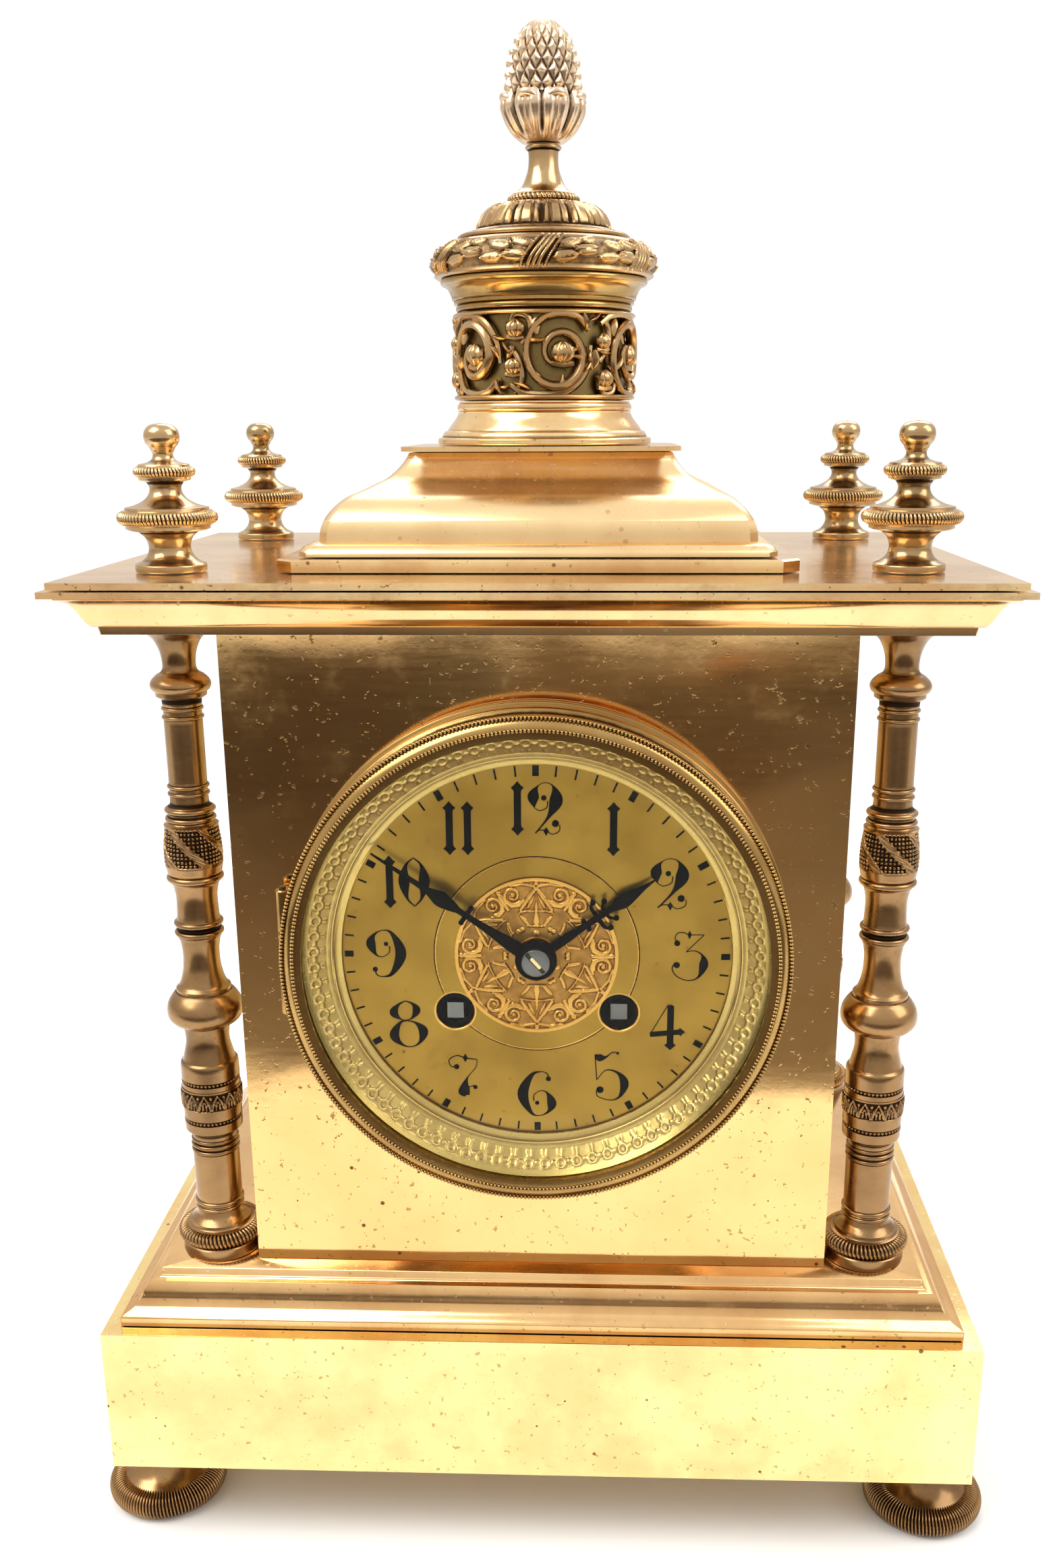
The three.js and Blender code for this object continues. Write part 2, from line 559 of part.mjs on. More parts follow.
function buildTrain() {
  const { front, back, plate } = MOVEMENT;
  const inner = front + plate;
  const place = (name) => [ARBORS[name][0], DIAL_Z + ARBORS[name][1]];
  const arbor = (name, y0, y1) => rodY(PIVOT[name], y0, y1, ...place(name), 10);
  const wheel = (name, radius, teeth, y) => flat(wheelShape(radius, teeth), y, y + 1.4, ...place(name));

  for (const [train, side] of [['going', 'right'], ['strike', 'left']]) {
    const key = `winding_${side}`;
    const [x, z] = place(key);
    const drum = faced([
      [PIVOT[key] + GAP, 3], [BARREL.radius, 3], [BARREL.radius, 5], [BARREL.radius - 1.6, 5],
      [BARREL.radius - 1.6, 3 + BARREL.depth], [PIVOT[key] + GAP, 3 + BARREL.depth],
      [PIVOT[key] + GAP, 3],
    ], 18, inner, false, x, z);
    add(`${train}_barrel`, drum, antique);
    const square = block(x - WINDING.square, x + WINDING.square, FRONT - 5, FRONT + 1,
      z - WINDING.square, z + WINDING.square);
    const shaft = arbor(key, FRONT + 0.5, back + plate + 5);
    const ratchet = flat(toothed(9, 7.4, 14), back + plate + 1, back + plate + 2.6, x, z);
    add(`${train}_winding_arbor`, join(square, shaft, ratchet), steel);
  }
  // Motion work: the cannon pinion drives the minute wheel a third as fast, and the
  // minute pinion drives the hour wheel a quarter as fast again.
  const { hourY, minuteY } = MOTION;
  const cannon = rodY(1.9, FRONT - 12, minuteY, 0, DIAL_Z);
  const cannonPinion = rodY(2.2, minuteY - 0.3, minuteY + 1.7, 0, DIAL_Z);
  const centreArbor = arbor('centre', minuteY, back + plate);
  const centre = join(centreArbor, cannon, cannonPinion, wheel('centre', 15.5, 20, -33));
  add('centre_wheel', centre, polished);
  const pipe = rodY(2.9, FRONT - 8.8, hourY + 0.5, 0, DIAL_Z, 12);
  const hourDisc = flat(toothed(7.8, 7.1, 20), hourY, hourY + 1.2);
  const hourBore = rodY(2.3, FRONT - 12, FRONT + 3, 0, DIAL_Z, 12);
  add('hour_wheel', cut(join(pipe, hourDisc), hourBore), polished);
  const minutePinion = rodY(1.75, hourY - 0.2, minuteY + 0.5, ...place('motion'));
  const motionArbor = arbor('motion', minuteY, inner - 0.4);
  add('minute_wheel', join(motionArbor, minutePinion, wheel('motion', 7.3, 16, minuteY)), polished);
  const escape = join(arbor('escape', front + 0.5, back + plate), wheel('escape', 8.5, 15, -36));
  add('escape_wheel', escape, polished);

  const anchor = flat(outline([
    [-8.6, -9.5], [-7, -9.8], [-5.2, -3.4], [0, 0.4], [5.2, -3.4], [7, -9.8], [8.6, -9.5],
    [7, -1.2], [0, 3.6], [-7, -1.2],
  ]), -36, -34.6, 0, BEAT_Z);
  const crutchY = back + plate + 3;
  const crutch = block(-0.8, 0.8, crutchY, crutchY + 1, BEAT_Z - 34, BEAT_Z + 2);
  const prongs = [-1, 1].map((sign) => {
    const x = sign * 2.2;
    return block(x - 0.5, x + 0.5, crutchY, PENDULUM.y + 1.5, BEAT_Z - 36, BEAT_Z - 32);
  });
  const yoke = block(-2.7, 2.7, crutchY, crutchY + 1, BEAT_Z - 36, BEAT_Z - 32);
  const pallet = join(anchor, arbor('pallet', front + 0.5, crutchY + 1), crutch, yoke, ...prongs);
  add('pallet_anchor', pallet, steel);
}

function buildPendulum() {
  const { y, length, bob } = PENDULUM;
  const rod = rodZ(1.1, BEAT_Z - length - 20, BEAT_Z - 2, 0, y, 10);
  const hook = block(-2.6, 2.6, y - 1, y + 1, BEAT_Z - 4, BEAT_Z + 2.6);
  const lens = faced([
    [0, -3.6], [bob - 3, -2.6], [bob, -0.8], [bob, 0.8], [bob - 3, 2.6], [0, 3.6],
  ], 16, y, true, 0, BEAT_Z - length);
  add('pendulum', join(rod, hook, lens), polished);
}

function buildBell() {
  const { radius, rim, depth } = BELL;
  const outer = [];
  const inner = [];
  for (let step = 0; step <= 4; step += 1) {
    const angle = (step * Math.PI) / 8;
    outer.push([radius * Math.cos(angle), depth * Math.sin(angle)]);
    inner.push([(radius - 1.6) * Math.cos(angle), (depth - 1.6) * Math.sin(angle)]);
  }
  outer[outer.length - 1][0] = 0;
  inner[inner.length - 1][0] = 0;
  const shell = faced([...inner.reverse(), ...outer], 18, rim, false);
  add('bell', shell, bellMetal);
  const [x, dz] = [26, -28];
  const post = rodY(2, MOVEMENT.back + MOVEMENT.plate + GAP, rim + depth + 5, x, DIAL_Z + dz, 10);
  const reach = Math.hypot(x, dz);
  const arm = block(-3, 3, rim + depth + 1.4, rim + depth + 4, -4, reach + 3)
    .rotateY(Math.atan2(-x, -dz)).translate(x, 0, DIAL_Z + dz);
  add('bell_stand', join(post, arm), steel);

  const pivot = { x: -29, z: DIAL_Z - 30 };
  const head = { x: -38.6, z: DIAL_Z + 4 };
  const tilt = Math.atan2(head.x - pivot.x, head.z - pivot.z);
  const length = Math.hypot(head.x - pivot.x, head.z - pivot.z);
  const hammer = join(
    rodY(1.2, MOVEMENT.back + MOVEMENT.plate + GAP, -2, pivot.x, pivot.z, 10),
    block(-0.9, 0.9, -4, -2, 0, length).rotateY(tilt).translate(pivot.x, 0, pivot.z),
    rodY(4.2, -4, 15, head.x, head.z, 12),
  );
  add('strike_hammer', hammer, steel);
}

// Steel straps that pull the front bezel seat and the back door ring together.
function buildStraps() {
  for (const [side, sign] of [['left', -1], ['right', 1]]) {
    const strap = block(-0.8, 0.8, FRONT + 4, BACK - CASE.skin - GAP, DIAL_Z - 4, DIAL_Z + 4);
    add(`movement_strap_${side}`, strap.translate(sign * 55.5, 0, 0), steel);
  }
}

buildBase();
buildFeet();
buildPosts();
buildCase();
buildBackDoor();
buildCornice();
buildTower(buildCaddy());
buildBezel();
buildDial();
buildHands();
buildPlates();
buildTrain();
buildPendulum();
buildBell();
buildStraps();

export default clock;
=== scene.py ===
"""Looks of the brass mantel clock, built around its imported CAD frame.

Shapes are worked out in millimetres and turned into metres when a piece is made.
"""

import math

import bpy
import numpy as np
from mathutils import Euler, Matrix, Vector


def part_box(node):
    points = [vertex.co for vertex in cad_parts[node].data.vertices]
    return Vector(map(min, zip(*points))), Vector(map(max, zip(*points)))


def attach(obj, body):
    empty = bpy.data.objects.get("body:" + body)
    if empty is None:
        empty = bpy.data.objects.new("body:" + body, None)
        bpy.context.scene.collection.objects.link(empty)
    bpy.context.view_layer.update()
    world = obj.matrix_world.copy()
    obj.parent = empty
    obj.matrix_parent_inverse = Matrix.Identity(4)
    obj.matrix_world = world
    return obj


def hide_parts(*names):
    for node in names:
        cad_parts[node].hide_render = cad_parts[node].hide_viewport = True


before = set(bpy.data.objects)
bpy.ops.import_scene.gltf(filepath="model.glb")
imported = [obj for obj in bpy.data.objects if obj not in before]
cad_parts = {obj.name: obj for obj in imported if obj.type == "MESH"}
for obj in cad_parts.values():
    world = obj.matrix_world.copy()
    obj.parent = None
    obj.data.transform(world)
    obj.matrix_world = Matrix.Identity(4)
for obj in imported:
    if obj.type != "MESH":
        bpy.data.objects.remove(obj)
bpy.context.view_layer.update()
MM = 0.001
TURN = 2 * math.pi
CASE = "clock_case"


# ---- places taken from the frame, in millimetres -------------------------------------
def low(node):
    return np.array(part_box(node)[0]) / MM


def high(node):
    return np.array(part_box(node)[1]) / MM


def middle(node):
    return (low(node) + high(node)) / 2


FRONT = low("case_front")[1]
BACK = high("case_back")[1]
DIAL_Z = middle("dial_plate")[2]
DECK_Z = high("base_moulding")[2]
TOP_Z = high("top_plate")[2]
CADDY_TOP = high("caddy_cap")[2]
CORNERS = [(f"{end}_{side}", sx, sy) for side, sx in (("left", -1), ("right", 1))
           for end, sy in (("front", -1), ("rear", 1))]


# ---- outlines and curves -------------------------------------------------------------
def spline(points, steps=6):
    """A smooth curve through the points; every column is carried along."""
    p = np.array(points, float)
    if len(p) < 3:
        return np.linspace(p[0], p[-1], steps + 1)
    ends = np.vstack([2 * p[0] - p[1], p, 2 * p[-1] - p[-2]])
    out = []
    for a, b, c, d in zip(ends[:-3], ends[1:-2], ends[2:-1], ends[3:]):
        for t in np.arange(steps) / steps:
            out.append(0.5 * (2 * b + (c - a) * t + (2 * a - 5 * b + 4 * c - d) * t ** 2
                              + (3 * b - a - 3 * c + d) * t ** 3))
    return np.array(out + [p[-1]])


def profile(*runs, steps=5):
    """A turned outline of [radius, height]: a bare point is a corner, a list curves on from the last
    point, and an array is a curve of its own."""
    line = np.array(runs[:1], float)
    for run in runs[1:]:
        if not isinstance(run, tuple):
            run = spline([line[-1], *run] if isinstance(run, list) else run, steps)
        line = np.vstack([line, run])
    keep = np.r_[True, np.abs(np.diff(line, axis=0)).sum(axis=1) > 1e-6]
    return line[keep]


def bead(radius, height, size, tall=None, arc=(-90, 90), steps=8):
    """Part of a rounded ring on a turned outline, standing out to radius."""
    tall = tall or size
    angles = np.radians(np.linspace(arc[0], arc[1], steps + 1))
    return np.c_[radius - size + size * np.cos(angles), height + tall * np.sin(angles)]


def circle(radius, height, size, tall, sides):
    """A closed round outline about [radius, height]."""
    angles = np.linspace(0, TURN, sides + 1)
    line = np.c_[radius + size * np.cos(angles), height + tall * np.sin(angles)]
    line[-1] = line[0]
    return line


def resample(line, spacing):
    """Adds points so that no step of an outline is longer than spacing."""
    out = [line[0]]
    for a, b in zip(line[:-1], line[1:]):
        count = max(1, math.ceil(np.linalg.norm(b - a) / spacing))
        out.extend(a + (b - a) * (i + 1) / count for i in range(count))
    return np.array(out)


def smooth_step(x, start, end):
    t = np.clip((x - start) / (end - start), 0, 1)
    return t * t * (3 - 2 * t)


# ---- pieces --------------------------------------------------------------------------
class Shape:
    """Closed surfaces in millimetres, to be made into one piece; place moves the lathed ones."""

    def __init__(self, place=None):
        self.place = place
        self.points = []
        self.faces = []
        self.hollows = []
        self.count = 0

    def add(self, points, faces, hollow=None):
        points = np.asarray(points, float).reshape(-1, 3)
        self.points.append(points)
        self.faces.append(np.asarray(faces, int) + self.count)
        self.hollows.append(np.full(len(points), np.nan) if hollow is None else hollow.ravel())
        self.count += len(points)
        return self

    def grid(self, points, wrap_rows=False, wrap_columns=True, hollow=None):
        """A sheet of rows by columns; triangles come from points that meet."""
        rows, columns = points.shape[:2]
        r = np.arange(rows if wrap_rows else rows - 1)
        c = np.arange(columns if wrap_columns else columns - 1)
        r0, c0 = np.meshgrid(r, c, indexing="ij")
        r1, c1 = (r0 + 1) % rows, (c0 + 1) % columns
        quads = np.stack([r0 * columns + c0, r0 * columns + c1, r1 * columns + c1, r1 * columns + c0], -1)
        return self.add(points, quads.reshape(-1, 4), hollow)

    def lathe(self, outline, around=96, relief=None, place=None, patina=1.0):
        """Turns an outline of [radius, height] about Z; relief(angle, radius, height) lifts the skin."""
        outline = np.asarray(outline, float)
        closed = bool(np.allclose(outline[0], outline[-1]))
        area = np.sum(outline[:-1, 0] * outline[1:, 1] - outline[1:, 0] * outline[:-1, 1])
        if not closed:
            area += outline[-1, 0] * outline[0, 1] - outline[0, 0] * outline[-1, 1]
        if area < 0:
            outline = outline[::-1]
        if relief is None:
            outline = resample(outline, 1.0)
        if closed:
            outline = outline[:-1]
        angle = np.arange(around) * TURN / around
        radius = np.repeat(outline[:, :1], around, 1)
        height = np.repeat(outline[:, 1:], around, 1)
        hollow = None
        if relief:
            ahead = np.roll(outline, -1, 0) - np.roll(outline, 1, 0)
            if not closed:
                ahead[0], ahead[-1] = outline[1] - outline[0], outline[-1] - outline[-2]
            ahead /= np.maximum(np.linalg.norm(ahead, axis=1, keepdims=True), 1e-9)
            lift = relief(angle[None, :], outline[:, :1], outline[:, 1:]) + 0 * radius
            depth = (lift.max() - lift) / max(np.ptp(lift), 1e-9)
            hollow = np.where(lift == 0, np.nan, patina * (1.7 * depth - 0.7))
            radius = radius + lift * ahead[:, 1:]
            height = height - lift * ahead[:, :1]
        points = np.stack([radius * np.cos(angle), radius * np.sin(angle), height], -1)
        place = place or self.place
        return self.grid(place(points), wrap_rows=closed, hollow=hollow)

    def tube(self, path, radius, sides=10, flat=1.0):
        """A rod with rounded ends along a path, of one radius or one for each point."""
        path = np.asarray(path, float)
        radius = np.broadcast_to(np.asarray(radius, float), (len(path),)).copy()
        ahead = np.gradient(path, axis=0)
        ahead /= np.maximum(np.linalg.norm(ahead, axis=1, keepdims=True), 1e-9)
        across = np.cross(ahead[0], (0.3, 0.2, 1.0))
        rings = []
        angle = np.arange(sides) * TURN / sides
        for point, direction, size in zip(path, ahead, radius):
            across = across - direction * across.dot(direction)
            across /= np.linalg.norm(across)
            up = np.cross(direction, across)
            rings.append(point + size * (np.cos(angle)[:, None] * across
                                         + flat * np.sin(angle)[:, None] * up))
        rings = [np.repeat(path[:1], sides, 0), *rings, np.repeat(path[-1:], sides, 0)]
        return self.grid(np.array(rings))

    def make(self, name, body, material, replaces=(), slot=None, depth=0.25, rounds=8, sharp=38):
        """Welds the surfaces into an object that rides on a body."""
        points = np.vstack(self.points)
        _, first, weld = np.unique(np.round(points, 4), axis=0, return_index=True, return_inverse=True)
        points = points[first]
        loops = []
        totals = []
        for faces in self.faces:
            faces = weld.reshape(-1)[faces]
            keep = faces != np.roll(faces, 1, axis=1)
            size = keep.sum(axis=1)
            for corners in (3, 4):
                chosen = size == corners
                loops.append(faces[chosen][keep[chosen]])
                totals.append(np.full(chosen.sum(), corners))
        loops = np.concatenate(loops)
        totals = np.concatenate(totals)
        mesh = bpy.data.meshes.new(name)
        mesh.vertices.add(len(points))
        mesh.vertices.foreach_set("co", (points * MM).ravel())
        mesh.loops.add(len(loops))
        mesh.loops.foreach_set("vertex_index", loops)
        mesh.polygons.add(len(totals))
        mesh.polygons.foreach_set("loop_start", np.r_[0, np.cumsum(totals)[:-1]])
        mesh.update(calc_edges=True)
        mesh.validate()
        mesh.shade_smooth()
        mesh.set_sharp_from_angle(angle=math.radians(sharp))
        mark_recesses(mesh, rounds, depth, np.concatenate(self.hollows)[first])
        mesh.materials.append(material)
        piece = bpy.data.objects.new(name, mesh)
        bpy.context.scene.collection.objects.link(piece)
        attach(piece, body)
        if replaces:
            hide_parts(*replaces)
        return piece

    def stand_for(self, node, material, slot, body=CASE, **settings):
        """Makes the piece that is seen in place of one CAD node."""
        return self.make(node + "_visual", body, material, [node], slot, **settings)


def mark_recesses(mesh, rounds, depth, relief):
    """Stores how far each point lies below (+) or above (-) the smoothed surface or its relief."""
    count = len(mesh.vertices)
    points = np.zeros(count * 3)
    mesh.vertices.foreach_get("co", points)
    points = points.reshape(-1, 3) / MM
    normals = np.zeros(count * 3)
    mesh.vertex_normals.foreach_get("vector", normals)
    normals = normals.reshape(-1, 3)
    edges = np.zeros(len(mesh.edges) * 2, int)
    mesh.edges.foreach_get("vertices", edges)
    a, b = edges.reshape(-1, 2).T
    degree = np.maximum(np.bincount(edges, minlength=count), 1)
    soft = points.copy()
    for _ in range(rounds):
        total = [np.bincount(a, soft[b, k], count) + np.bincount(b, soft[a, k], count) for k in range(3)]
        soft = np.array(total).T / degree[:, None]
    hollow = np.clip(((soft - points) * normals).sum(axis=1) / depth, -1, 1)
    hollow = np.where(np.isnan(relief), hollow, np.maximum(relief, hollow))
    attribute = mesh.attributes.new("recess", "FLOAT", "POINT")
    attribute.data.foreach_set("value", hollow.astype(np.float32))


def on_dial(points):
    """Turns [right, up, forward] into the clock's frame, on the dial axis."""
    return np.stack([points[..., 0], FRONT - points[..., 2], DIAL_Z + points[..., 1]], -1)


def at(x, y, z):
    return lambda points: points + np.array([x, y, z])


def along_y(x, y, z):
    """Turns a lathed piece about an axis along Y through (x, y, z)."""
    return lambda p: np.stack([x + p[..., 0], y + p[..., 2], z - p[..., 1]], -1)


# ---- relief patterns, in millimetres ---------------------------------------------------
def strands(phase, depth):
    """Rounded strands with sharp grooves between, one per whole phase."""
    across = 2 * (phase - np.floor(phase)) - 1
    return -depth * across ** 2


def off_middle(phase):
    """How far each phase lies from the middle of its own whole turn, from -0.5 to 0.5."""
    return phase - np.floor(phase) - 0.5


def rope(count, slant, depth):
    return lambda angle, radius, height: strands(count * angle / TURN + slant * height, depth)


def strokes_height(x, y, strokes):
    """Highest rounded stroke at each point; a stroke is (line of [x, y, half width], lift)."""
    lift = np.zeros(np.broadcast(x, y).shape)
    for line, tall in strokes:
        line = np.asarray(line, float)
        for (ax, ay, aw), (bx, by, bw) in zip(line[:-1], line[1:]):
            dx, dy = bx - ax, by - ay
            t = np.clip(((x - ax) * dx + (y - ay) * dy) / max(dx * dx + dy * dy, 1e-9), 0, 1)
            away = np.hypot(x - ax - t * dx, y - ay - t * dy) / (aw + (bw - aw) * t)
            lift = np.maximum(lift, tall * np.sqrt(np.maximum(1 - away ** 2, 0)))
    return lift


def spiral(x, y, radius, start, turns, width, end=0.25):
    """A volute that winds in from its outer radius; angles in turns."""
    t = np.linspace(0, 1, 28)
    reach = radius * (1 - (1 - end) * t)
    angle = TURN * (start + turns * t)
    return np.c_[x + reach * np.cos(angle), y + reach * np.sin(angle), width * (1 - 0.45 * t)]


def dot(x, y, size):
    return [(x - 0.01, y, size), (x + 0.01, y, size)]


# ---- materials -------------------------------------------------------------------------
class Nodes:
    """Short way to write the nodes of a new material or world: inputs are sockets or constants."""

    def __init__(self, name, kind="materials"):
        self.owner = getattr(bpy.data, kind).new(name)
        self.owner.use_nodes = True
        self.tree = self.owner.node_tree
        self.shader = self.tree.nodes.get("Principled BSDF")

    def add(self, kind, *inputs, **settings):
        node = self.tree.nodes.new("ShaderNode" + kind)
        named = settings.pop("inputs", {})
        for key, value in settings.items():
            setattr(node, key, value)
        for key, value in list(enumerate(inputs)) + list(named.items()):
            self.set(node.inputs[key], value)
        return node

    def set(self, socket, value):
        if isinstance(value, bpy.types.NodeSocket):
            self.tree.links.new(value, socket)
        elif value is not None:
            socket.default_value = value

    def math(self, operation, a, b=None, clamp=False):
        return self.add("Math", a, b, operation=operation, use_clamp=clamp).outputs[0]

    def ramp(self, value, start, end, low_value=0.0, high_value=1.0):
        node = self.add("MapRange", value, start, end, low_value, high_value, interpolation_type="SMOOTHSTEP")
        return node.outputs[0]

    def noise(self, place, scale, detail=4.0, rough=0.55, stretch=None):
        if stretch:
            place = self.add("Mapping", inputs={"Vector": place, "Scale": stretch}).outputs[0]
        named = {"Vector": place, "Scale": scale, "Detail": detail, "Roughness": rough}
        return self.add("TexNoise", inputs=named).outputs[0]

    def mix(self, factor, a, b):
        node = self.add("Mix", data_type="RGBA", inputs={0: factor})
        self.set(node.inputs[6], a)
        self.set(node.inputs[7], b)
        return node.outputs[2]

    def finish(self, color, roughness, bump=(), metallic=None, **constants):
        self.set(self.shader.inputs["Base Color"], color)
        self.set(self.shader.inputs["Roughness"], roughness)
        if metallic is not None:
            self.set(self.shader.inputs["Metallic"], metallic)
        for key, value in constants.items():
            self.shader.inputs[key.replace("_", " ")].default_value = value
        normal = None
        for height, distance in bump:
            named = {"Strength": 1.0, "Distance": distance, "Height": height}
            if normal:
                named["Normal"] = normal
            normal = self.add("Bump", inputs=named).outputs[0]
        if normal:
            self.set(self.shader.inputs["Normal"], normal)
        return self.owner


def rgb(red, green, blue):
    return (red, green, blue, 1.0)


def brass(name, clean, warm, dark, rough, recess=0.0, specks=0.0, waves=0.0, grain=0.02, film=0.5):
    """Brass with drifting tone, tarnish in recesses, small spots, hairlines and slow waves."""
    clean, warm, dark = rgb(*clean), rgb(*warm), rgb(*dark)
    n = Nodes(name)
    place = n.add("TexCoord").outputs["Object"]
    drift = n.noise(place, 28, 5, 0.6)
    tone = n.mix(n.ramp(drift, 0.35, 0.68), clean, warm)
    cloud = n.ramp(n.noise(place, 75, 6, 0.65), 0.5, 0.78, 0, film)
    tone = n.mix(cloud, tone, warm)
    hollow = n.add("Attribute", attribute_name="recess").outputs["Fac"]
    fine = n.noise(place, 420, 4, 0.6)
    dirt = n.math("ADD", hollow, n.math("MULTIPLY", n.math("SUBTRACT", fine, 0.5), 0.55))
    dirt = n.ramp(dirt, 0.05, 0.62, 0, recess)
    cells = n.add("TexVoronoi", inputs={"Vector": place, "Scale": 210.0, "Randomness": 1.0})
    size = n.math("MULTIPLY", n.ramp(n.noise(place, 34, 3, 0.5), 0.42, 0.7), 0.15)
    near = n.math("LESS_THAN", cells.outputs["Distance"], size)
    rare = n.math("GREATER_THAN", n.add("SeparateColor", cells.outputs["Color"]).outputs[0], 0.35)
    spot = n.math("MULTIPLY", n.math("MULTIPLY", near, rare), specks)
    blot = n.ramp(n.noise(place, 620, 2, 0.5), 0.67, 0.73, 0, specks)
    stain = n.math("MAXIMUM", dirt, n.math("MAXIMUM", spot, n.math("MULTIPLY", blot, 0.6)), clamp=True)
    color = n.mix(stain, tone, dark)
    bright = n.ramp(hollow, -0.1, -0.55, 0, 0.35 if recess else 0.0)
    color = n.mix(bright, color, clean)
    hair = n.noise(place, 900, 3, 0.5, stretch=(0.08, 1.0, 1.0))
    hair_up = n.noise(place, 700, 3, 0.5, stretch=(1.0, 1.0, 0.06))
    shine = n.math("ADD", n.math("MULTIPLY", cloud, 0.16), n.math("MULTIPLY", hair, 0.07))
    shine = n.math("ADD", n.math("ADD", shine, rough - 0.035), n.math("MULTIPLY", stain, 0.3), clamp=True)
    bumps = [(n.noise(place, 16, 2, 0.4), waves), (fine, grain * MM), (hair_up, 0.6 * grain * MM)]
    bumps.append((n.math("MULTIPLY", stain, -1.0), 0.03 * MM))
    return n.finish(color, shine, [b for b in bumps if b[1] > 0], metallic=1.0)


POLISHED = brass("polished_brass", (0.96, 0.79, 0.37), (0.9, 0.6, 0.26), (0.16, 0.07, 0.025),
                 rough=0.08, specks=0.9, waves=0.0011, grain=0.006, film=0.55)
MOULDED = brass("moulded_brass", (0.9, 0.65, 0.33), (0.72, 0.44, 0.2), (0.13, 0.065, 0.025),
                rough=0.15, recess=0.8, specks=0.7, waves=0.0008, grain=0.01, film=0.55)
FACING = brass("case_brass", (0.9, 0.6, 0.25), (0.88, 0.53, 0.21), (0.16, 0.07, 0.025),
               rough=0.09, specks=0.95, waves=0.0011, grain=0.006, film=0.5)
DECK = brass("deck_brass", (0.88, 0.57, 0.26), (0.66, 0.37, 0.15), (0.1, 0.045, 0.018),
             rough=0.15, recess=0.9, specks=0.8, waves=0.0008, grain=0.01, film=0.6)
SATIN = brass("satin_brass", (0.92, 0.68, 0.36), (0.8, 0.52, 0.26), (0.13, 0.065, 0.025),
              rough=0.25, recess=0.8, specks=0.6, waves=0.0006, grain=0.012, film=0.6)
TURNED = brass("turned_brass", (0.6, 0.41, 0.21), (0.36, 0.235, 0.11), (0.035, 0.018, 0.008),
               rough=0.2, recess=1.0, specks=0.35, grain=0.012, film=0.8)
COLUMN = brass("column_brass", (0.38, 0.225, 0.1), (0.18, 0.105, 0.048), (0.03, 0.016, 0.008),
               rough=0.24, recess=1.0, specks=0.35, grain=0.016, film=0.85)
BEZEL = brass("bezel_brass", (0.48, 0.31, 0.11), (0.28, 0.16, 0.055), (0.05, 0.025, 0.01),
              rough=0.18, recess=1.0, specks=0.3, grain=0.01, film=0.7)
CAST = brass("cast_brass", (0.53, 0.35, 0.17), (0.29, 0.175, 0.08), (0.04, 0.02, 0.008),
             rough=0.25, recess=1.0, specks=0.3, grain=0.03, film=0.8)
CONE = brass("cone_brass", (0.78, 0.6, 0.42), (0.6, 0.42, 0.26), (0.07, 0.038, 0.018),
             rough=0.27, recess=1.0, specks=0.3, grain=0.03, film=0.7)
SLEEVE = brass("sleeve_brass", (0.26, 0.19, 0.07), (0.12, 0.08, 0.03), (0.035, 0.022, 0.01),
               rough=0.36, recess=0.6, specks=0.6, grain=0.02, film=0.9)
GILT = brass("gilt_brass", (0.36, 0.215, 0.035), (0.25, 0.14, 0.02), (0.045, 0.026, 0.01),
             rough=0.33, recess=0.35, specks=0.5, grain=0.012, film=0.75)
EMBOSSED = brass("embossed_gilt", (0.66, 0.37, 0.09), (0.55, 0.28, 0.055), (0.2, 0.09, 0.02),
                 rough=0.27, recess=0.9, specks=0.15, grain=0.01, film=0.4)
SIGHT = brass("sight_gilt", (0.62, 0.45, 0.15), (0.5, 0.34, 0.1), (0.2, 0.12, 0.035),
              rough=0.26, recess=0.6, specks=0.15, grain=0.01, film=0.5)
MOVEMENT = brass("movement_brass", (0.82, 0.64, 0.32), (0.7, 0.5, 0.22), (0.12, 0.07, 0.03),
                 rough=0.24, recess=0.6, specks=0.2, grain=0.02, film=0.4)
BELL_METAL = brass("bell_metal", (0.72, 0.7, 0.64), (0.6, 0.55, 0.45), (0.12, 0.09, 0.06),
                   rough=0.2, recess=0.5, specks=0.4, grain=0.01, film=0.5)
STEEL = brass("steel", (0.17, 0.17, 0.165), (0.1, 0.095, 0.085), (0.03, 0.026, 0.022),
              rough=0.3, recess=0.8, specks=0.5, grain=0.03, film=0.6)


def black_paint():
    n = Nodes("hand_black")
    place = n.add("TexCoord").outputs["Object"]
    worn = n.ramp(n.noise(place, 500, 5, 0.6), 0.5, 0.75)
    color = n.mix(worn, rgb(0.001, 0.001, 0.001), rgb(0.006, 0.005, 0.003))
    shine = n.ramp(n.noise(place, 260, 4, 0.6), 0.3, 0.7, 0.5, 0.68)
    return n.finish(color, shine, [(n.noise(place, 1200, 3, 0.5), 0.02 * MM)], metallic=0.0,
                    Specular_IOR_Level=0.05)


def clear_glass():
    n = Nodes("glass")
    place = n.add("TexCoord").outputs["Object"]
    haze = n.ramp(n.noise(place, 60, 5, 0.6), 0.4, 0.8, 0.0, 0.035)
    return n.finish(rgb(0.97, 0.99, 0.97), haze, [(n.noise(place, 12, 2, 0.4), 0.00004)],
                    IOR=1.22, Transmission_Weight=1.0)


BLACK = black_paint()
GLASS = clear_glass()


# ---- carried-over CAD nodes ------------------------------------------------------------
def dress(material, *nodes, edge=0.25):
    """Gives CAD nodes a material and softly rounded edges."""
    for name in nodes:
        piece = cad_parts[name]
        piece.material_slots[0].material = material
        if edge:
            rounding = piece.modifiers.new("edges", "BEVEL")
            rounding.width = edge * MM
            rounding.segments = 2
            rounding.limit_method = "ANGLE"
            rounding.angle_limit = math.radians(40)


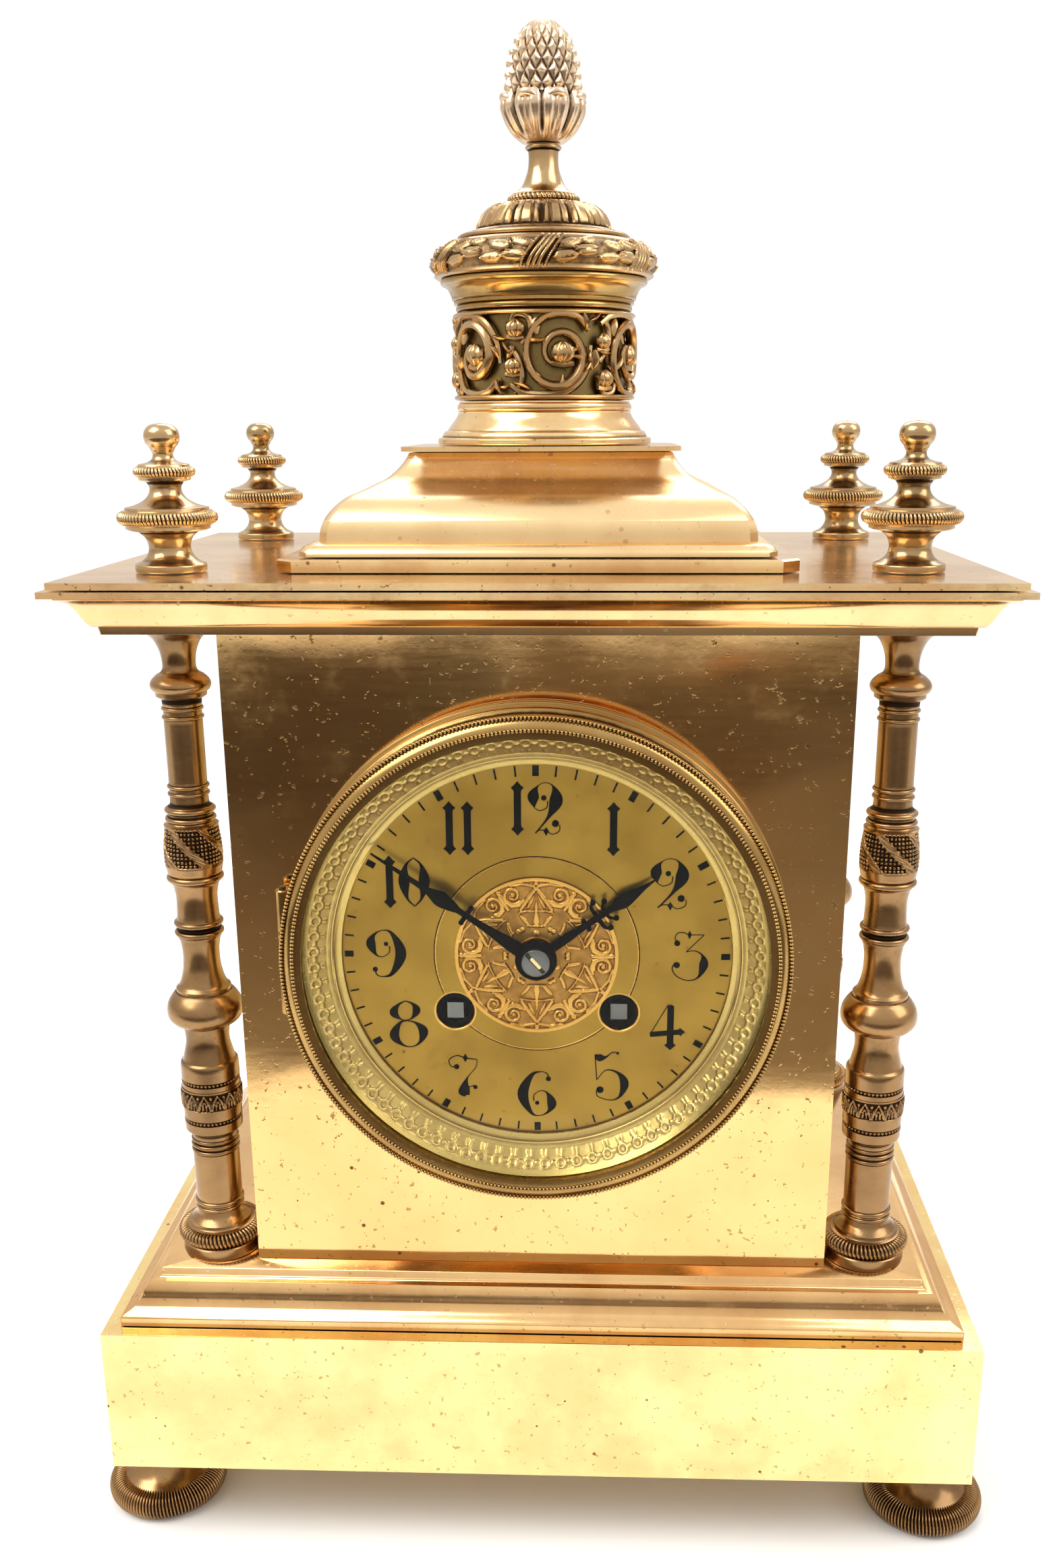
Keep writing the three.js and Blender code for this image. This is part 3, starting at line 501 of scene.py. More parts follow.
# ---- mouldings -------------------------------------------------------------------------
def moulding(shape, levels, chamfer=0.3):
    """Closed stack of rectangles of half-size [x, y] at heights z, with cut corners."""
    rows = []
    for x, y, z in levels:
        c = min(chamfer, x, y)
        corners = [(x, c - y), (x, y - c), (x - c, y), (c - x, y), (-x, y - c), (-x, c - y),
                   (c - x, -y), (x - c, -y)]
        rows.append([(px, py, z) for px, py in corners])
    rows.insert(0, [(0, 0, levels[0][2])] * 8)
    rows.append([(0, 0, levels[-1][2])] * 8)
    return shape.grid(np.array(rows))


def build_base():
    dress(POLISHED, "base_box", edge=0.4)
    bottom = low("base_moulding")[2]
    foot = high("base_moulding")[:2]
    deck = DECK_Z - bottom
    cove = spline([(1.3, 3.5), (3.6, 5), (5.2, 6.9), (6.1, 9), (7.1, 10.8), (8.3, 12)], 6)
    roll = spline([(8.9, 12.05), (10.4, 12.5), (11, 13.05)], 5)
    outline = [(0, 0), (0.05, 0.1), (0, 2.4), (0.25, 2.75), *cove, *roll, (11.4, 13.4), (11.4, deck - 0.15),
               (11.6, deck)]
    levels = [(foot[0] - inward, foot[1] - inward * 0.55, bottom + up) for inward, up in outline]
    moulding(Shape(), levels).stand_for("base_moulding", DECK, "polished_brass", rounds=3)


def build_cornice():
    bottom, top = low("cornice_moulding")[2], high("cornice_moulding")[2]
    eaves = high("cornice_moulding")[:2]
    tall = top - bottom
    cyma = spline([(5.9, 2.9), (5.1, 4.2), (4.4, 5.6), (3.6, 7), (2.4, 8.3), (0.2, 9.25)], 6)
    outline = [(8.2, 0), (8.2, 0.3), (7.8, 2), (6.6, 2.2), *cyma, (0, tall - 0.2), (0.1, tall)]
    levels = [(eaves[0] - inward, eaves[1] - inward, bottom + up) for inward, up in outline]
    moulding(Shape(), levels).stand_for("cornice_moulding", MOULDED, "polished_brass", rounds=3)
    dress(MOULDED, "cornice_plate", "top_plate", edge=0.3)


def build_caddy():
    dress(MOULDED, "caddy_plinth", "caddy_cap", edge=0.35)
    bottom, top = low("caddy_ogee")[2], high("caddy_ogee")[2]
    step = high("caddy_ogee")[:2]
    rise = [(0.0, 0.0), (0.015, 0.13), (0.05, 0.23), (0.115, 0.33), (0.2, 0.42), (0.31, 0.5), (0.47, 0.57),
            (0.61, 0.635), (0.74, 0.7), (0.845, 0.785), (0.93, 0.88), (0.985, 0.97), (1.0, 1.0)]
    inset, rim, neck = 4.5, 3.4, (25.9, 25.0)
    sweep = spline(rise, 5)
    levels = [(*step, bottom), (*step, bottom + 1.2), (step[0] - 0.3, step[1] - 0.3, bottom + 1.6),
              (step[0] - 1, step[1] - 1, bottom + 2.6), (step[0] - 3, step[1] - 3, bottom + rim - 0.3)]
    for inward, up in sweep:
        across = inset + inward * (neck[0] - inset)
        deep = inset + inward * (neck[1] - inset)
        levels.append((step[0] - across, step[1] - deep, bottom + rim + up * (top - bottom - rim)))
    moulding(Shape(), levels, chamfer=2.2).stand_for("caddy_ogee", SATIN, "polished_brass", rounds=3)


# ---- turned posts ----------------------------------------------------------------------
def knurled(shape, radius, height, size, tall, count, slant, depth, sides=12):
    """A ring of slanted strands round a turned piece."""
    outline = circle(radius - size, height, size, tall, sides)
    shape.lathe(outline, count * 8, rope(count, slant, depth))


def build_foot(end, x, y, tall):
    shape = Shape(at(x, y, 0))
    body = profile((0, 0.2), (14.5, 0.2), [(15, 3), (14.6, 7)], [(14.2, 7.2), (12.4, 8.3), (10.2, 10),
                    (8.2, 12.6), (7, 15.6), (6.7, 18)], [(7.2, 19.8), (8.2, 21)], (8.2, tall), (0, tall))
    shape.lathe(body, 96)
    knurled(shape, 17.7, 4.35, 4.2, 4.2, 104, 0.09, 0.85, sides=20)
    shape.stand_for(f"foot_{end}", COLUMN, "turned_brass", depth=0.2)


def leaf_band(angle, radius, height):
    """Pointed leaves with stems between them, on the lower drum of a column."""
    count, base, tall = 14, 45.4, 5.0
    u = off_middle(angle * count / TURN) * 3.6 + 0 * height
    v = height - base + 0 * angle
    strokes = []
    for side in (-1, 1):
        strokes.append(([(side * 1.5, 0.5, 0.35), (side * 1.15, 2.6, 0.45), (0, 4.6, 0.25)], 0.55))
        strokes.append(([(side * 0.55, 0.6, 0.35), (side * 0.4, 2.2, 0.4), (0, 3.2, 0.2)], 0.45))
        strokes.append(([(side * 1.8, 0.4, 0.25), (side * 1.8, 3.2, 0.25)], 0.45))
        strokes.append((dot(side * 1.8, 3.9, 0.5), 0.6))
    lift = strokes_height(u, v, strokes)
    inside = (v > 0) & (v < tall)
    return np.where(inside, lift - 0.25, 0.0)


def punched(angle, radius, height):
    """Spiral ribbons with pebbled ground between them, on the upper barrel."""
    inside = smooth_step(height, 115.6, 116.2) * (1 - smooth_step(height, 125.8, 126.4))
    away = np.abs(off_middle(5 * angle / TURN + height * 0.105))
    ribbon_lift = 0.12 * np.cos(height * 5 + angle * 22) * (away < 0.09)
    border = np.maximum(1 - ((away - 0.13) / 0.03) ** 2, 0) * 0.12
    pebble = 0.5 * smooth_step(np.abs(np.sin(angle * 21) * np.sin(height * 2.9)), 0.25, 0.8) - 0.5
    return inside * np.where(away > 0.16, pebble, ribbon_lift + border - 0.12)


def build_column(end, x, y):
    gap, drawn = 0.3, 179.1
    stretch = (low("cornice_moulding")[2] - DECK_Z - 2 * gap) / drawn
    place = at(x, y, DECK_Z + gap)

    def tall(points):
        points = points.copy()
        points[..., 2] *= stretch
        return place(points)

    base = profile((0, 0), (11.1, 0), [(11.2, 0.4), (11.1, 2.9)], [(10.7, 3.3), (9.8, 3.6)], (9.8, 8),
                   [(8.9, 8.3), (8.6, 9.3)], [(8, 9.8), (6.9, 11), (6.4, 12.3)], bead(6.9, 13.2, 0.6),
                   (6.4, 13.9), (6.2, 14.2), bead(7, 15, 0.7), (6.4, 15.8), (6.5, 17.1), (6.5, 30.6),
                   bead(6.8, 31.3, 0.6), (6.1, 31.9), (6.1, 32.3), bead(6.8, 33, 0.6), (6.1, 33.6),
                   (6.1, 34), bead(6.7, 34.6, 0.5), (6.3, 35.2), (6.3, 36.6), [(7, 37), (8, 38)],
                   (8.1, 40.6), (7.6, 40.8), (7.6, 41.8), (8.1, 42), (8.1, 44.9))
    middle_run = profile((8.1, 50.9), (8.1, 52.3), (7.6, 52.5), (7.6, 53.5), (8.1, 53.7), (8.1, 57.4),
                         [(7.9, 58.3), (7.3, 58.9)], [(6.9, 60.4), (6.1, 64.1), (6.2, 67.2),
                          (6.7, 69.4)], [(8.6, 70.1), (10.1, 71.8), (10.5, 73.8), (10, 76.2),
                          (8.6, 78.4), (7.5, 79.4)], (7.5, 80.3), [(6.4, 81.6), (5.3, 85.4), (5, 90.1),
                          (5.4, 93.6), (6, 95.2)], bead(6.7, 96.3, 0.75), (5.6, 97.1), (5.3, 97.7),
                         bead(6.7, 99, 0.75), (5.9, 99.8), [(5.7, 101.6), (5.55, 106), (5.9, 108.6),
                          (6.3, 110.2)], (7, 110.9), bead(7.7, 111.9, 0.9), (7, 112.9),
                         [(7.3, 113.4), (7.5, 114.4)])
    upper = profile((7.3, 126.7), (6.5, 127), (6.2, 127.4), bead(6.8, 128.3, 0.7), (6.1, 129),
                    (6, 129.6), bead(6.8, 130.7, 0.7), (6, 131.5), (5.2, 132.2), (5.1, 134.4),
                    bead(5.6, 135.1, 0.5), (5.1, 135.7), (5, 136.4), bead(5.6, 137.1, 0.5),
                    (5.05, 137.8), (5.05, 154.9), bead(5.5, 155.6, 0.5), (5, 156.2), (5, 157.2),
                    bead(5.5, 157.9, 0.5), (5.1, 158.6), (5.2, 160.3), (6.6, 161.2), (6.7, 162.2),
                    [(7.5, 162.9), (7.9, 164.1), (7.4, 165.4), (6.2, 166.6)], [(4.7, 167.6),
                     (4.3, 169.4), (4.7, 172.6), (6, 175.6), (7.6, 177.3)], (8.4, 178), (8.4, 179.1),
                    (0, 179.1))
    drum = np.c_[np.full(30, 8.35), np.linspace(44.9, 50.9, 30)]
    heights = np.linspace(114.4, 126.7, 52)
    swell = np.interp(heights, [114.4, 116, 118.8, 122, 125.3, 126.7], [7.5, 7.8, 7.9, 7.7, 7.2, 7.2])
    barrel = np.c_[swell, heights]
    fine = 224
    shape = Shape(tall)
    for run, around, relief in ((base, 72, None), (middle_run, 72, None), (upper, 72, None),
                                (drum, fine, leaf_band), (barrel, fine, punched)):
        closed = np.vstack([[0, run[0][1]], run, [0, run[-1][1]]])
        shape.lathe(closed, around, relief)
    knurled(shape, 12.35, 5.75, 2.4, 2.2, 62, 0.19, 0.75, sides=16)
    for height in (41.3, 53):
        knurled(shape, 8.15, height, 0.5, 0.45, 44, 0, 0.3, sides=8)
    shape.stand_for(f"column_{end}", COLUMN, "turned_brass", depth=0.22)


def build_finial(end, x, y):
    outline = profile((0, 0), (8.9, 0), [(9, 0.3), (9, 1.5), (8.7, 1.9)], [(6.7, 2.9), (5.5, 4.6),
                       (5.3, 6.3), (5.9, 8.3), (7.5, 9.8)], (9.6, 10.2), (10.6, 10.6), (10.6, 11.3),
                      (11.3, 11.6), (11.3, 15), (10.5, 15.2), (10.4, 15.8), [(8, 16.4), (5.6, 17.6),
                       (4.3, 19), (3.9, 20.6), (4.6, 22)], (6.4, 22.5), (6.5, 23), (6.5, 25.9),
                      (6.2, 26.3), [(3.7, 26.9), (2.7, 27.8), (2.5, 28.9), (3, 29.9)], (3.2, 30.4),
                      [(4.1, 31.5), (4.4, 33), (4, 34.6), (2.6, 35.8), (0, 36.2)])
    shape = Shape(at(x, y, TOP_Z + 0.3)).lathe(outline, 80)
    knurled(shape, 12.6, 13.3, 1.9, 1.75, 76, 0.16, 0.55, sides=14)
    knurled(shape, 7.7, 24.5, 1.6, 1.4, 50, 0.16, 0.45)
    shape.stand_for(f"corner_finial_{end}", TURNED, "turned_brass", depth=0.2)


def build_posts():
    post = middle("column_front_right")
    foot = middle("foot_front_right")
    for end, sx, sy in CORNERS:
        build_foot(end, sx * foot[0], -sy * foot[1], low("base_box")[2])
        build_column(end, sx * post[0], -sy * post[1])
        build_finial(end, sx * post[0], -sy * post[1])


# ---- tower -----------------------------------------------------------------------------
def laurel(angle, radius, height):
    """Laurel leaves and crossed ribbons in relief, wrapped round the big ring."""
    ribbons = 6
    u = off_middle(angle * ribbons / TURN) * 31 + 0 * height
    v = (height - 43.7) * 1.25 + (30 - radius) * 0.55 + 0 * angle
    strokes = []
    for k in (-1.35, 0, 1.35):
        strokes.append(([(-2.5 + k, -1, 0.55), (4.2 + k, 14, 0.55)], 0.75))
    for k in (-3.1, 3.1):
        strokes.append(([(-2.5 + k, -1, 0.4), (4.2 + k, 14, 0.4)], 1.0))
    for x, y, lean, size in ((6.8, 3.4, 0.2, 1.5), (8.2, 8.8, 0.6, 1.5), (12.6, 5.8, 0.1, 1.6),
                             (13.8, 10.8, 0.4, 1.2), (-4.6, 9.4, 2.7, 1.4), (-6.6, 3.9, 3.1, 1.6),
                             (-10.4, 8.3, 2.9, 1.6), (-12.6, 3.2, 3.2, 1.4)):
        dx, dy = math.cos(lean), math.sin(lean)
        leaf = [(x + along * dx, y + along * dy, half)
                for along, half in ((-3.4, 0.4), (-1, 1.5 * size), (1, 1.35 * size), (3.8, 0.15))]
        strokes.append((leaf, 0.7))
        strokes.append(([(x - 3 * dx, y - 3 * dy, 0.2), (x + 3 * dx, y + 3 * dy, 0.2)], 0.95))
    for x, y in ((9.4, 6.3), (-8.2, 9.2), (-8, 5.2), (4.9, 10.8), (15.2, 6.1)):
        strokes.append((dot(x, y, 0.75), 1.1))
    return strokes_height(u, v, strokes) - 0.75


def gadroons(angle, radius, height):
    """Slots with rounded heads between swelling lobes, on the dome."""
    rise = smooth_step(height, 55.7, 57.2) * (1 - smooth_step(height, 61.8, 62.6))
    u = np.abs(off_middle(angle * 14 / TURN))
    slot = np.maximum(1 - (u / (0.10 + 0.06 * smooth_step(height, 59, 61.5))) ** 2, 0) ** 0.5
    side = np.maximum(1 - ((u - 0.3) / 0.07) ** 2, 0) ** 0.5
    return rise * (0.35 - 1.25 * slot - 0.6 * side)


def build_tower():
    z = CADDY_TOP
    place = at(0, 0, z)
    foot = profile((0, 0.3), (29.9, 0.3), [(30.1, 0.6), (30.1, 1.6), (29.9, 1.9)], (28.9, 2.2), (28.7, 3),
                   [(28.2, 3.6), (27.3, 4)], (27, 4.6), [(26.4, 5.4), (25, 7.2), (24.2, 8.6)], (24.3, 9),
                   bead(24.5, 10.1, 0.6, 1.1), (24, 11.3), (23.9, 11.7), (0, 11.7))
    sleeve = profile((20.5, 12), (22.5, 12), [(22.45, 23), (22.5, 34.8)], (20.5, 34.8), (20.5, 12))
    collar = profile((0, 35.1), (24.1, 35.1), bead(24.4, 36, 0.6, 0.85), (24, 36.9), (24.9, 37.1),
                     (24.9, 38), (25.4, 38.3), [(25.6, 39.2), (26.4, 40.9), (27.6, 42)], (28.2, 42.1),
                     [(28.5, 42.7), (28.4, 43.4)], (0, 43.4))
    Shape(place).lathe(foot, 128).stand_for("tower_foot", MOULDED, "polished_brass", rounds=3)
    Shape(place).lathe(sleeve, 128).stand_for("tower_sleeve", SLEEVE, "sleeve_brass")
    Shape(place).lathe(collar, 128).stand_for("tower_collar", BEZEL, "polished_brass", rounds=3)

    torus = spline([(30.2, 44.1), (31.3, 46.4), (31.1, 48.4), (29.8, 50.6), (27.6, 52.3), (25, 53)], 9)
    ring = np.vstack([[(20.3, 43.7), (29.4, 43.7)], torus, [(20.3, 53), (20.3, 43.7)]])

    def wreath(angle, radius, height):
        outside = np.where(radius > 25.2, laurel(angle, radius, height), 0.0)
        return outside * smooth_step(height, 43.9, 45) * (1 - smooth_step(height, 52.2, 52.9))

    ring = Shape(place).lathe(ring, 720, wreath, patina=0.38)
    ring.stand_for("laurel_ring", CAST, "cast_brass", depth=0.4, rounds=10)

    dome = profile((0, 43.7), (19.6, 43.7), (19.6, 53.3), (23.3, 53.3), bead(23.6, 54, 0.6), (23, 54.7),
                   (20.9, 55), (20.2, 55.6), (18.6, 55.9))
    crown = spline([(18.4, 56), (17.8, 57.9), (16.6, 59.9), (14.6, 61.6), (12.4, 62.5), (11.2, 62.7)], 6)
    dome = np.vstack([dome, crown, [(0, 62.7)]])
    cap = Shape(place).lathe(dome, 448, gadroons, patina=0.7)
    cap.stand_for("dome_cap", CAST, "cast_brass", depth=0.4, rounds=9)

    stem = profile((0, 63), (8.7, 63), (8.7, 64.6), [(8.9, 65), (8.3, 65.4)],
                   [(7.2, 65.9), (5.9, 67.2), (4.9, 69.3), (4.2, 71.5), (4, 74), (4.1, 76)],
                   bead(4.9, 76.7, 0.5), (4.4, 77.3), (0, 77.4))
    shape = Shape(place).lathe(stem, 96)
    knurled(shape, 9.9, 63.9, 1.3, 1.0, 44, 0.3, 0.35)
    shape.stand_for("finial_stem", TURNED, "turned_brass", depth=0.2)
    build_pinecone(place)
    build_frieze(z)


def build_pinecone(place):
    """Leaf cup with curled tips, and a spire of overlapping pointed scales."""
    leaves = 8

    def lobes(angle, radius, height):
        u = np.abs(off_middle(angle * leaves / TURN)) * 2
        body = smooth_step(height, 77.8, 80.5)
        vein = np.maximum(1 - (u / 0.12) ** 2, 0) * 0.45
        gap = smooth_step(u, 0.72, 1.0) * 0.8
        fold = np.maximum(1 - ((u - 0.45) / 0.2) ** 2, 0) * 0.35
        return body * (vein + fold - gap)

    cup = profile((0, 77.7), (5, 77.7), [(6.2, 78.3), (8.3, 80.4), (10.1, 83), (11.2, 85.8), (11, 87.8),
                   (10.3, 89.4)], (9.4, 89), (0, 88), steps=8)
    shape = Shape(place).lathe(cup, 256, lobes, patina=0.55)
    for leaf in range(leaves):
        angle = (leaf + 0.5) * TURN / leaves
        side = np.linspace(-1, 1, 9)
        turn = angle + side * 0.27
        reach = 11.0 - 0.7 * side ** 2
        path = np.c_[reach * np.cos(turn), reach * np.sin(turn), 88.6 - 1.5 * side ** 2]
        shape.tube(place(path), 1.15 * np.sqrt(1.05 - side ** 2), 10)

    def scales(angle, radius, height):
        turns = angle / TURN
        rise = (height - 88) / 2.9
        count = 18
        a, b = count * turns + rise * 0.5, count * turns - rise * 0.5
        fa, fb = a - np.floor(a), b - np.floor(b)
        pyramid = 1 - 2 * np.maximum(np.abs(fa - 0.5), np.abs(fb - 0.5))
        ends = smooth_step(height, 87, 89) * (1 - 0.8 * smooth_step(height, 102, 107.3))
        beak = smooth_step(0.5 * (fa + 1 - fb), 0.3, 0.85)
        return ends * (1.7 * np.power(pyramid, 0.8) * (0.55 + 0.6 * beak) - 0.85)

    cone = spline([(9.2, 86.5), (9.9, 89), (10, 92), (9.8, 95), (9.1, 98.5), (7.9, 101.6), (6, 104.6),
                   (3.4, 106.7), (0.9, 107.55)], 12)
    cone = np.vstack([[(0, 86.5)], cone, [(0, 107.6)]])
    shape.lathe(cone, 320, scales, patina=0.5)
    shape.stand_for("pinecone", CONE, "cast_brass", depth=0.4, rounds=9)


def build_frieze(z):
    """Openwork of scrolling stems, leaves and buds wrapped round the sleeve."""
    radius, repeats = 23.9, 6
    bottom = z + 12
    shape = Shape(at(0, 0, z))

    def wrap(points, turn):
        """From [along, up, out] in millimetres to the cylinder."""
        points = np.asarray(points, float)
        angle = turn + points[:, 0] / radius
        reach = radius + points[:, 2]
        return np.c_[reach * np.cos(angle), reach * np.sin(angle), bottom + points[:, 1]]

    def stem(points, turn, size, out=0.0, swell=0.0):
        line = spline([(*p, out) for p in points], 8)
        t = np.linspace(0, 1, len(line))
        line[:, 2] += swell * np.sin(t * math.pi)
        thick = 1.3 * size * (0.5 + 0.5 * np.sin(math.pi * np.clip(t * 0.9 + 0.1, 0, 1)))
        shape.tube(wrap(line, turn), thick, 9, flat=0.85)

    def leaf(x, y, lean, length, width, turn):
        t = np.linspace(0, 1, 12)
        curve = 0.9 * t ** 2
        along = x + length * (t * math.cos(lean) - curve * 0.45 * math.sin(lean))
        up = y + length * (t * math.sin(lean) + curve * 0.45 * math.cos(lean))
        thick = width * np.sin(math.pi * (0.06 + 0.9 * t)) ** 0.8
        shape.tube(wrap(np.c_[along, up, 0.25 + 0.9 * t ** 2], turn), thick, 10, flat=0.45)

    def bud(x, y, size, turn):
        t = np.linspace(0, 1, 12)
        for side in (-1, 0, 1):
            along = x + side * size * 0.55 * np.sin(math.pi * t) + side * 0.15
            up = y + size * 1.9 * (t - 0.45)
            shape.tube(wrap(np.c_[along, up, 0.5 + 0.35 * (side == 0) + 0.3 * np.sin(math.pi * t)], turn),
                       size * 0.52 * np.sin(math.pi * (0.08 + 0.86 * t)), 9)
        cuff = [(x + side * size, y - size * drop, out)
                for side, drop, out in ((-1, 0.9, 0.3), (0, 1.05, 0.6), (1, 0.9, 0.3))]
        shape.tube(wrap(cuff, turn), size * 0.3, 8)

    for repeat in range(repeats):
        turn = -TURN / 4 + (repeat + 0.06) * TURN / repeats
        flip = 1 if repeat % 2 == 0 else -1
        mid = 11.4

        def place(points):
            return [(x, mid + flip * (y - mid)) for x, y in points]

        t = np.linspace(0, 1, 19)
        reach = 8.6 * (1 - t) ** 0.8 + 2.2
        angle = math.radians(62) + t * TURN * 1.55
        coil = [(3.2 + r * 0.9 * math.cos(a), mid + flip * r * 0.98 * math.sin(a))
                for r, a in zip(reach, angle)]
        stem(coil, turn, 1.15, out=0.1, swell=0.5)
        stem(place([(11.6, 17.5), (8.4, 20.8), (3.4, 21.4), (-2.2, 19.6), (-5.6, 15.4)]), turn, 1.0)
        stem(place([(-9.8, 3.6), (-5.6, 1.4), (1.4, 1.2), (7.6, 3.4), (11.4, 8.2), (12.4, 13.6)]), turn, 1.1)
        stem(place([(-9.8, 13.4), (-7.4, 9.6), (-6.6, 5.4), (-8.6, 1.6)]), turn, 0.85)
        stem(place([(-10.4, 16.8), (-8.6, 21.2), (-5, 20.6), (-4.4, 16.6), (-6.8, 14.2)]), turn, 0.8)
        bud(4.2, mid + flip * 0.2, 2.9, turn)
        bud(-8.2, mid + flip * 6.3, 2.3, turn)
        bud(-8.9, mid - flip * 3.2, 2.1, turn)
        for x, y, lean, size, width in ((-5.2, 15.2, -0.4, 4.6, 1.6), (10.6, 17.4, 1.4, 4.2, 1.5),
                                        (11.2, 9.4, 2.5, 5.4, 1.6), (9.6, 6.4, 0.6, 4.6, 1.4),
                                        (-4, 2, 2.3, 4.6, 1.4), (2.8, 1.6, 0.9, 4.6, 1.5),
                                        (12, 12.6, -1.9, 4.8, 1.5), (-10.6, 10.2, 0.6, 3.6, 1.3),
                                        (9.4, 12.4, 2.9, 4.6, 1.6), (11.8, 19.8, 0.2, 3.4, 1.2),
                                        (-10.8, 19.4, -0.9, 3.6, 1.3), (-2.6, 20.6, -1.9, 4.0, 1.3),
                                        (-12, 14.8, -1.2, 4.2, 1.3), (-1.2, 4.4, 1.9, 3.8, 1.3)):
            leaf(x, mid + flip * (y - mid), flip * lean, size, width, turn)
    for height in (0.7, 22.1):
        shape.lathe(circle(24.2, 12 + height, 1.1, 0.68, 14), 128)
    shape.stand_for("frieze_band", CAST, "cast_brass", depth=0.3, rounds=6)


# ---- bezel and glass -------------------------------------------------------------------
def block(shape, start, end):
    """A plain box between two corners."""
    (x0, y0, z0), (x1, y1, z1) = start, end
    ring = [(x0, y0), (x1, y0), (x1, y1), (x0, y1)]
    center = ((x0 + x1) / 2, (y0 + y1) / 2)
    rows = [[(*center, z0)] * 4, [(*p, z0) for p in ring], [(*p, z1) for p in ring], [(*center, z1)] * 4]
    return shape.grid(np.array(rows))


def knuckle(shape, x, y, start, end):
    """A hinge barrel along Z with chamfered rims."""
    radius, rim = 2.0, 0.3
    shape.lathe([(0, start), (radius - rim, start), (radius, start + rim), (radius, end - rim),
                 (radius - rim, end), (0, end)], 40, place=at(x, y, 0))


def build_bezel():
    hinge_x, hinge_y = middle("bezel_pin")[:2]
    half = (high("bezel_pin")[2] - low("bezel_pin")[2]) / 2
    inner = 5.5
    seat = profile((57.7, -13.8), (59.1, -13.8), (59.1, 0.3), (66.8, 0.3),
                   [(67.1, 0.6), (67.1, 1.9), (66.8, 2.2)], (60.6, 2.2), (60.6, 3.5), (57.7, 3.5),
                   (57.7, -13.8))
    shape = Shape(on_dial).lathe(seat, 192)
    for side in (-1, 1):
        near, far = DIAL_Z + side * (inner + 0.33), DIAL_Z + side * min(half, 17.5)
        bottom, top = min(near, far), max(near, far)
        knuckle(shape, hinge_x, hinge_y, bottom, top)
        block(shape, (hinge_x - 1, hinge_y, bottom + 0.7), (hinge_x + 1.9, FRONT - 0.3, top - 0.7))
    shape.stand_for("bezel_seat", BEZEL, "polished_brass", rounds=3)

    side = spline([(65.0, 6.7), (64.6, 8.6), (64.5, 11), (64.9, 13)], 5)
    lip = [(65.5, 13.4), (65.5, 14.2), (66.0, 14.5), (66.1, 16.0), (65.4, 16.7), (64.6, 17.5), (63.5, 18.1),
           (61.4, 18.0), (60.5, 17.9), (60.5, 16.7), (62.4, 16.6), (62.4, 2.6)]
    rim = np.vstack([[(62.4, 2.6), (66.3, 2.6), (66.4, 2.8)], bead(66.4, 4.4, 0.5, 1.4),
                     [(65.9, 6.1), (65.5, 6.3)], side, lip])

    def notched(points):
        """Clears the rim's rear edge away from the fixed knuckles."""
        edge = hinge_x + 2.6
        near = (points[..., 0] < edge) & (points[..., 2] < 8.2) & (np.abs(points[..., 1]) < 18)
        points[..., 0] = np.where(near, edge, points[..., 0])
        return on_dial(points)

    shape = Shape().lathe(rim, 360, place=notched)
    for radius, forward, size, beads in ((65.75, 16.9, 0.66, 410), (62.75, 18.15, 0.62, 390)):
        shape.lathe(circle(radius, forward, size, size, 12), beads * 8, rope(beads, 0, 0.5), on_dial)
    knuckle(shape, hinge_x, hinge_y, DIAL_Z - inner, DIAL_Z + inner)
    block(shape, (hinge_x, hinge_y - 0.9, DIAL_Z - 5), (hinge_x + 5.4, hinge_y + 0.9, DIAL_Z + 5))
    shape.stand_for("bezel_rim", BEZEL, "polished_brass", "bezel", rounds=4)
    dress(STEEL, "bezel_pin", "back_door_pin", edge=0)

    glass = Shape(on_dial).lathe([(0, 14.4), (61.9, 14.4), (62, 14.5), (62, 16.1), (61.9, 16.2), (60, 16.2),
                                  (52, 17.4), (0, 17.4)], 192)
    pane = glass.stand_for("bezel_glass", GLASS, "glass", "bezel", sharp=4)
    pane.visible_shadow = False

    loop = [(1.15 * math.cos(a), 3.2 + 1.15 * math.sin(a), 0.42) for a in np.linspace(-1.3, math.pi / 2, 9)]

    def eggs(angle, radius, height):
        count = 84
        u = np.abs(off_middle(angle * count / TURN)) * 4.3 + 0 * radius
        v = (radius - 54.9) + 0 * angle
        lift = strokes_height(u, v, [(loop, 0.3), (dot(2.15, 2.9, 0.62), 0.28),
                                     ([(0.4, 1.5, 0.35), (0.6, 0.6, 0.4)], 0.2)])
        return np.where((radius > 54.9) & (radius < 59.4) & (height > 8.4), lift - 0.1, 0.0)

    slope = np.array([(r, 7.9 + (r - 53.9) * 0.81) for r in np.linspace(60.2, 54.6, 30)])
    sight = np.vstack([[(62, 12.6), (62, 13.6), (60.9, 13.6)], slope,
                       bead(54.2, 7.85, 0.4, arc=(60, 180), steps=5),
                       [(53.3, 7.5), (52.2, 7.25), (51.6, 6.9), (51.5, 6.5), (51.6, 6.1), (54, 6.6),
                        (62, 12.6)]])
    shape = Shape(on_dial).lathe(sight, 1080, eggs, patina=0.35)
    shape.stand_for("sight_ring", SIGHT, "gilt_brass", "bezel", depth=0.25, rounds=8)


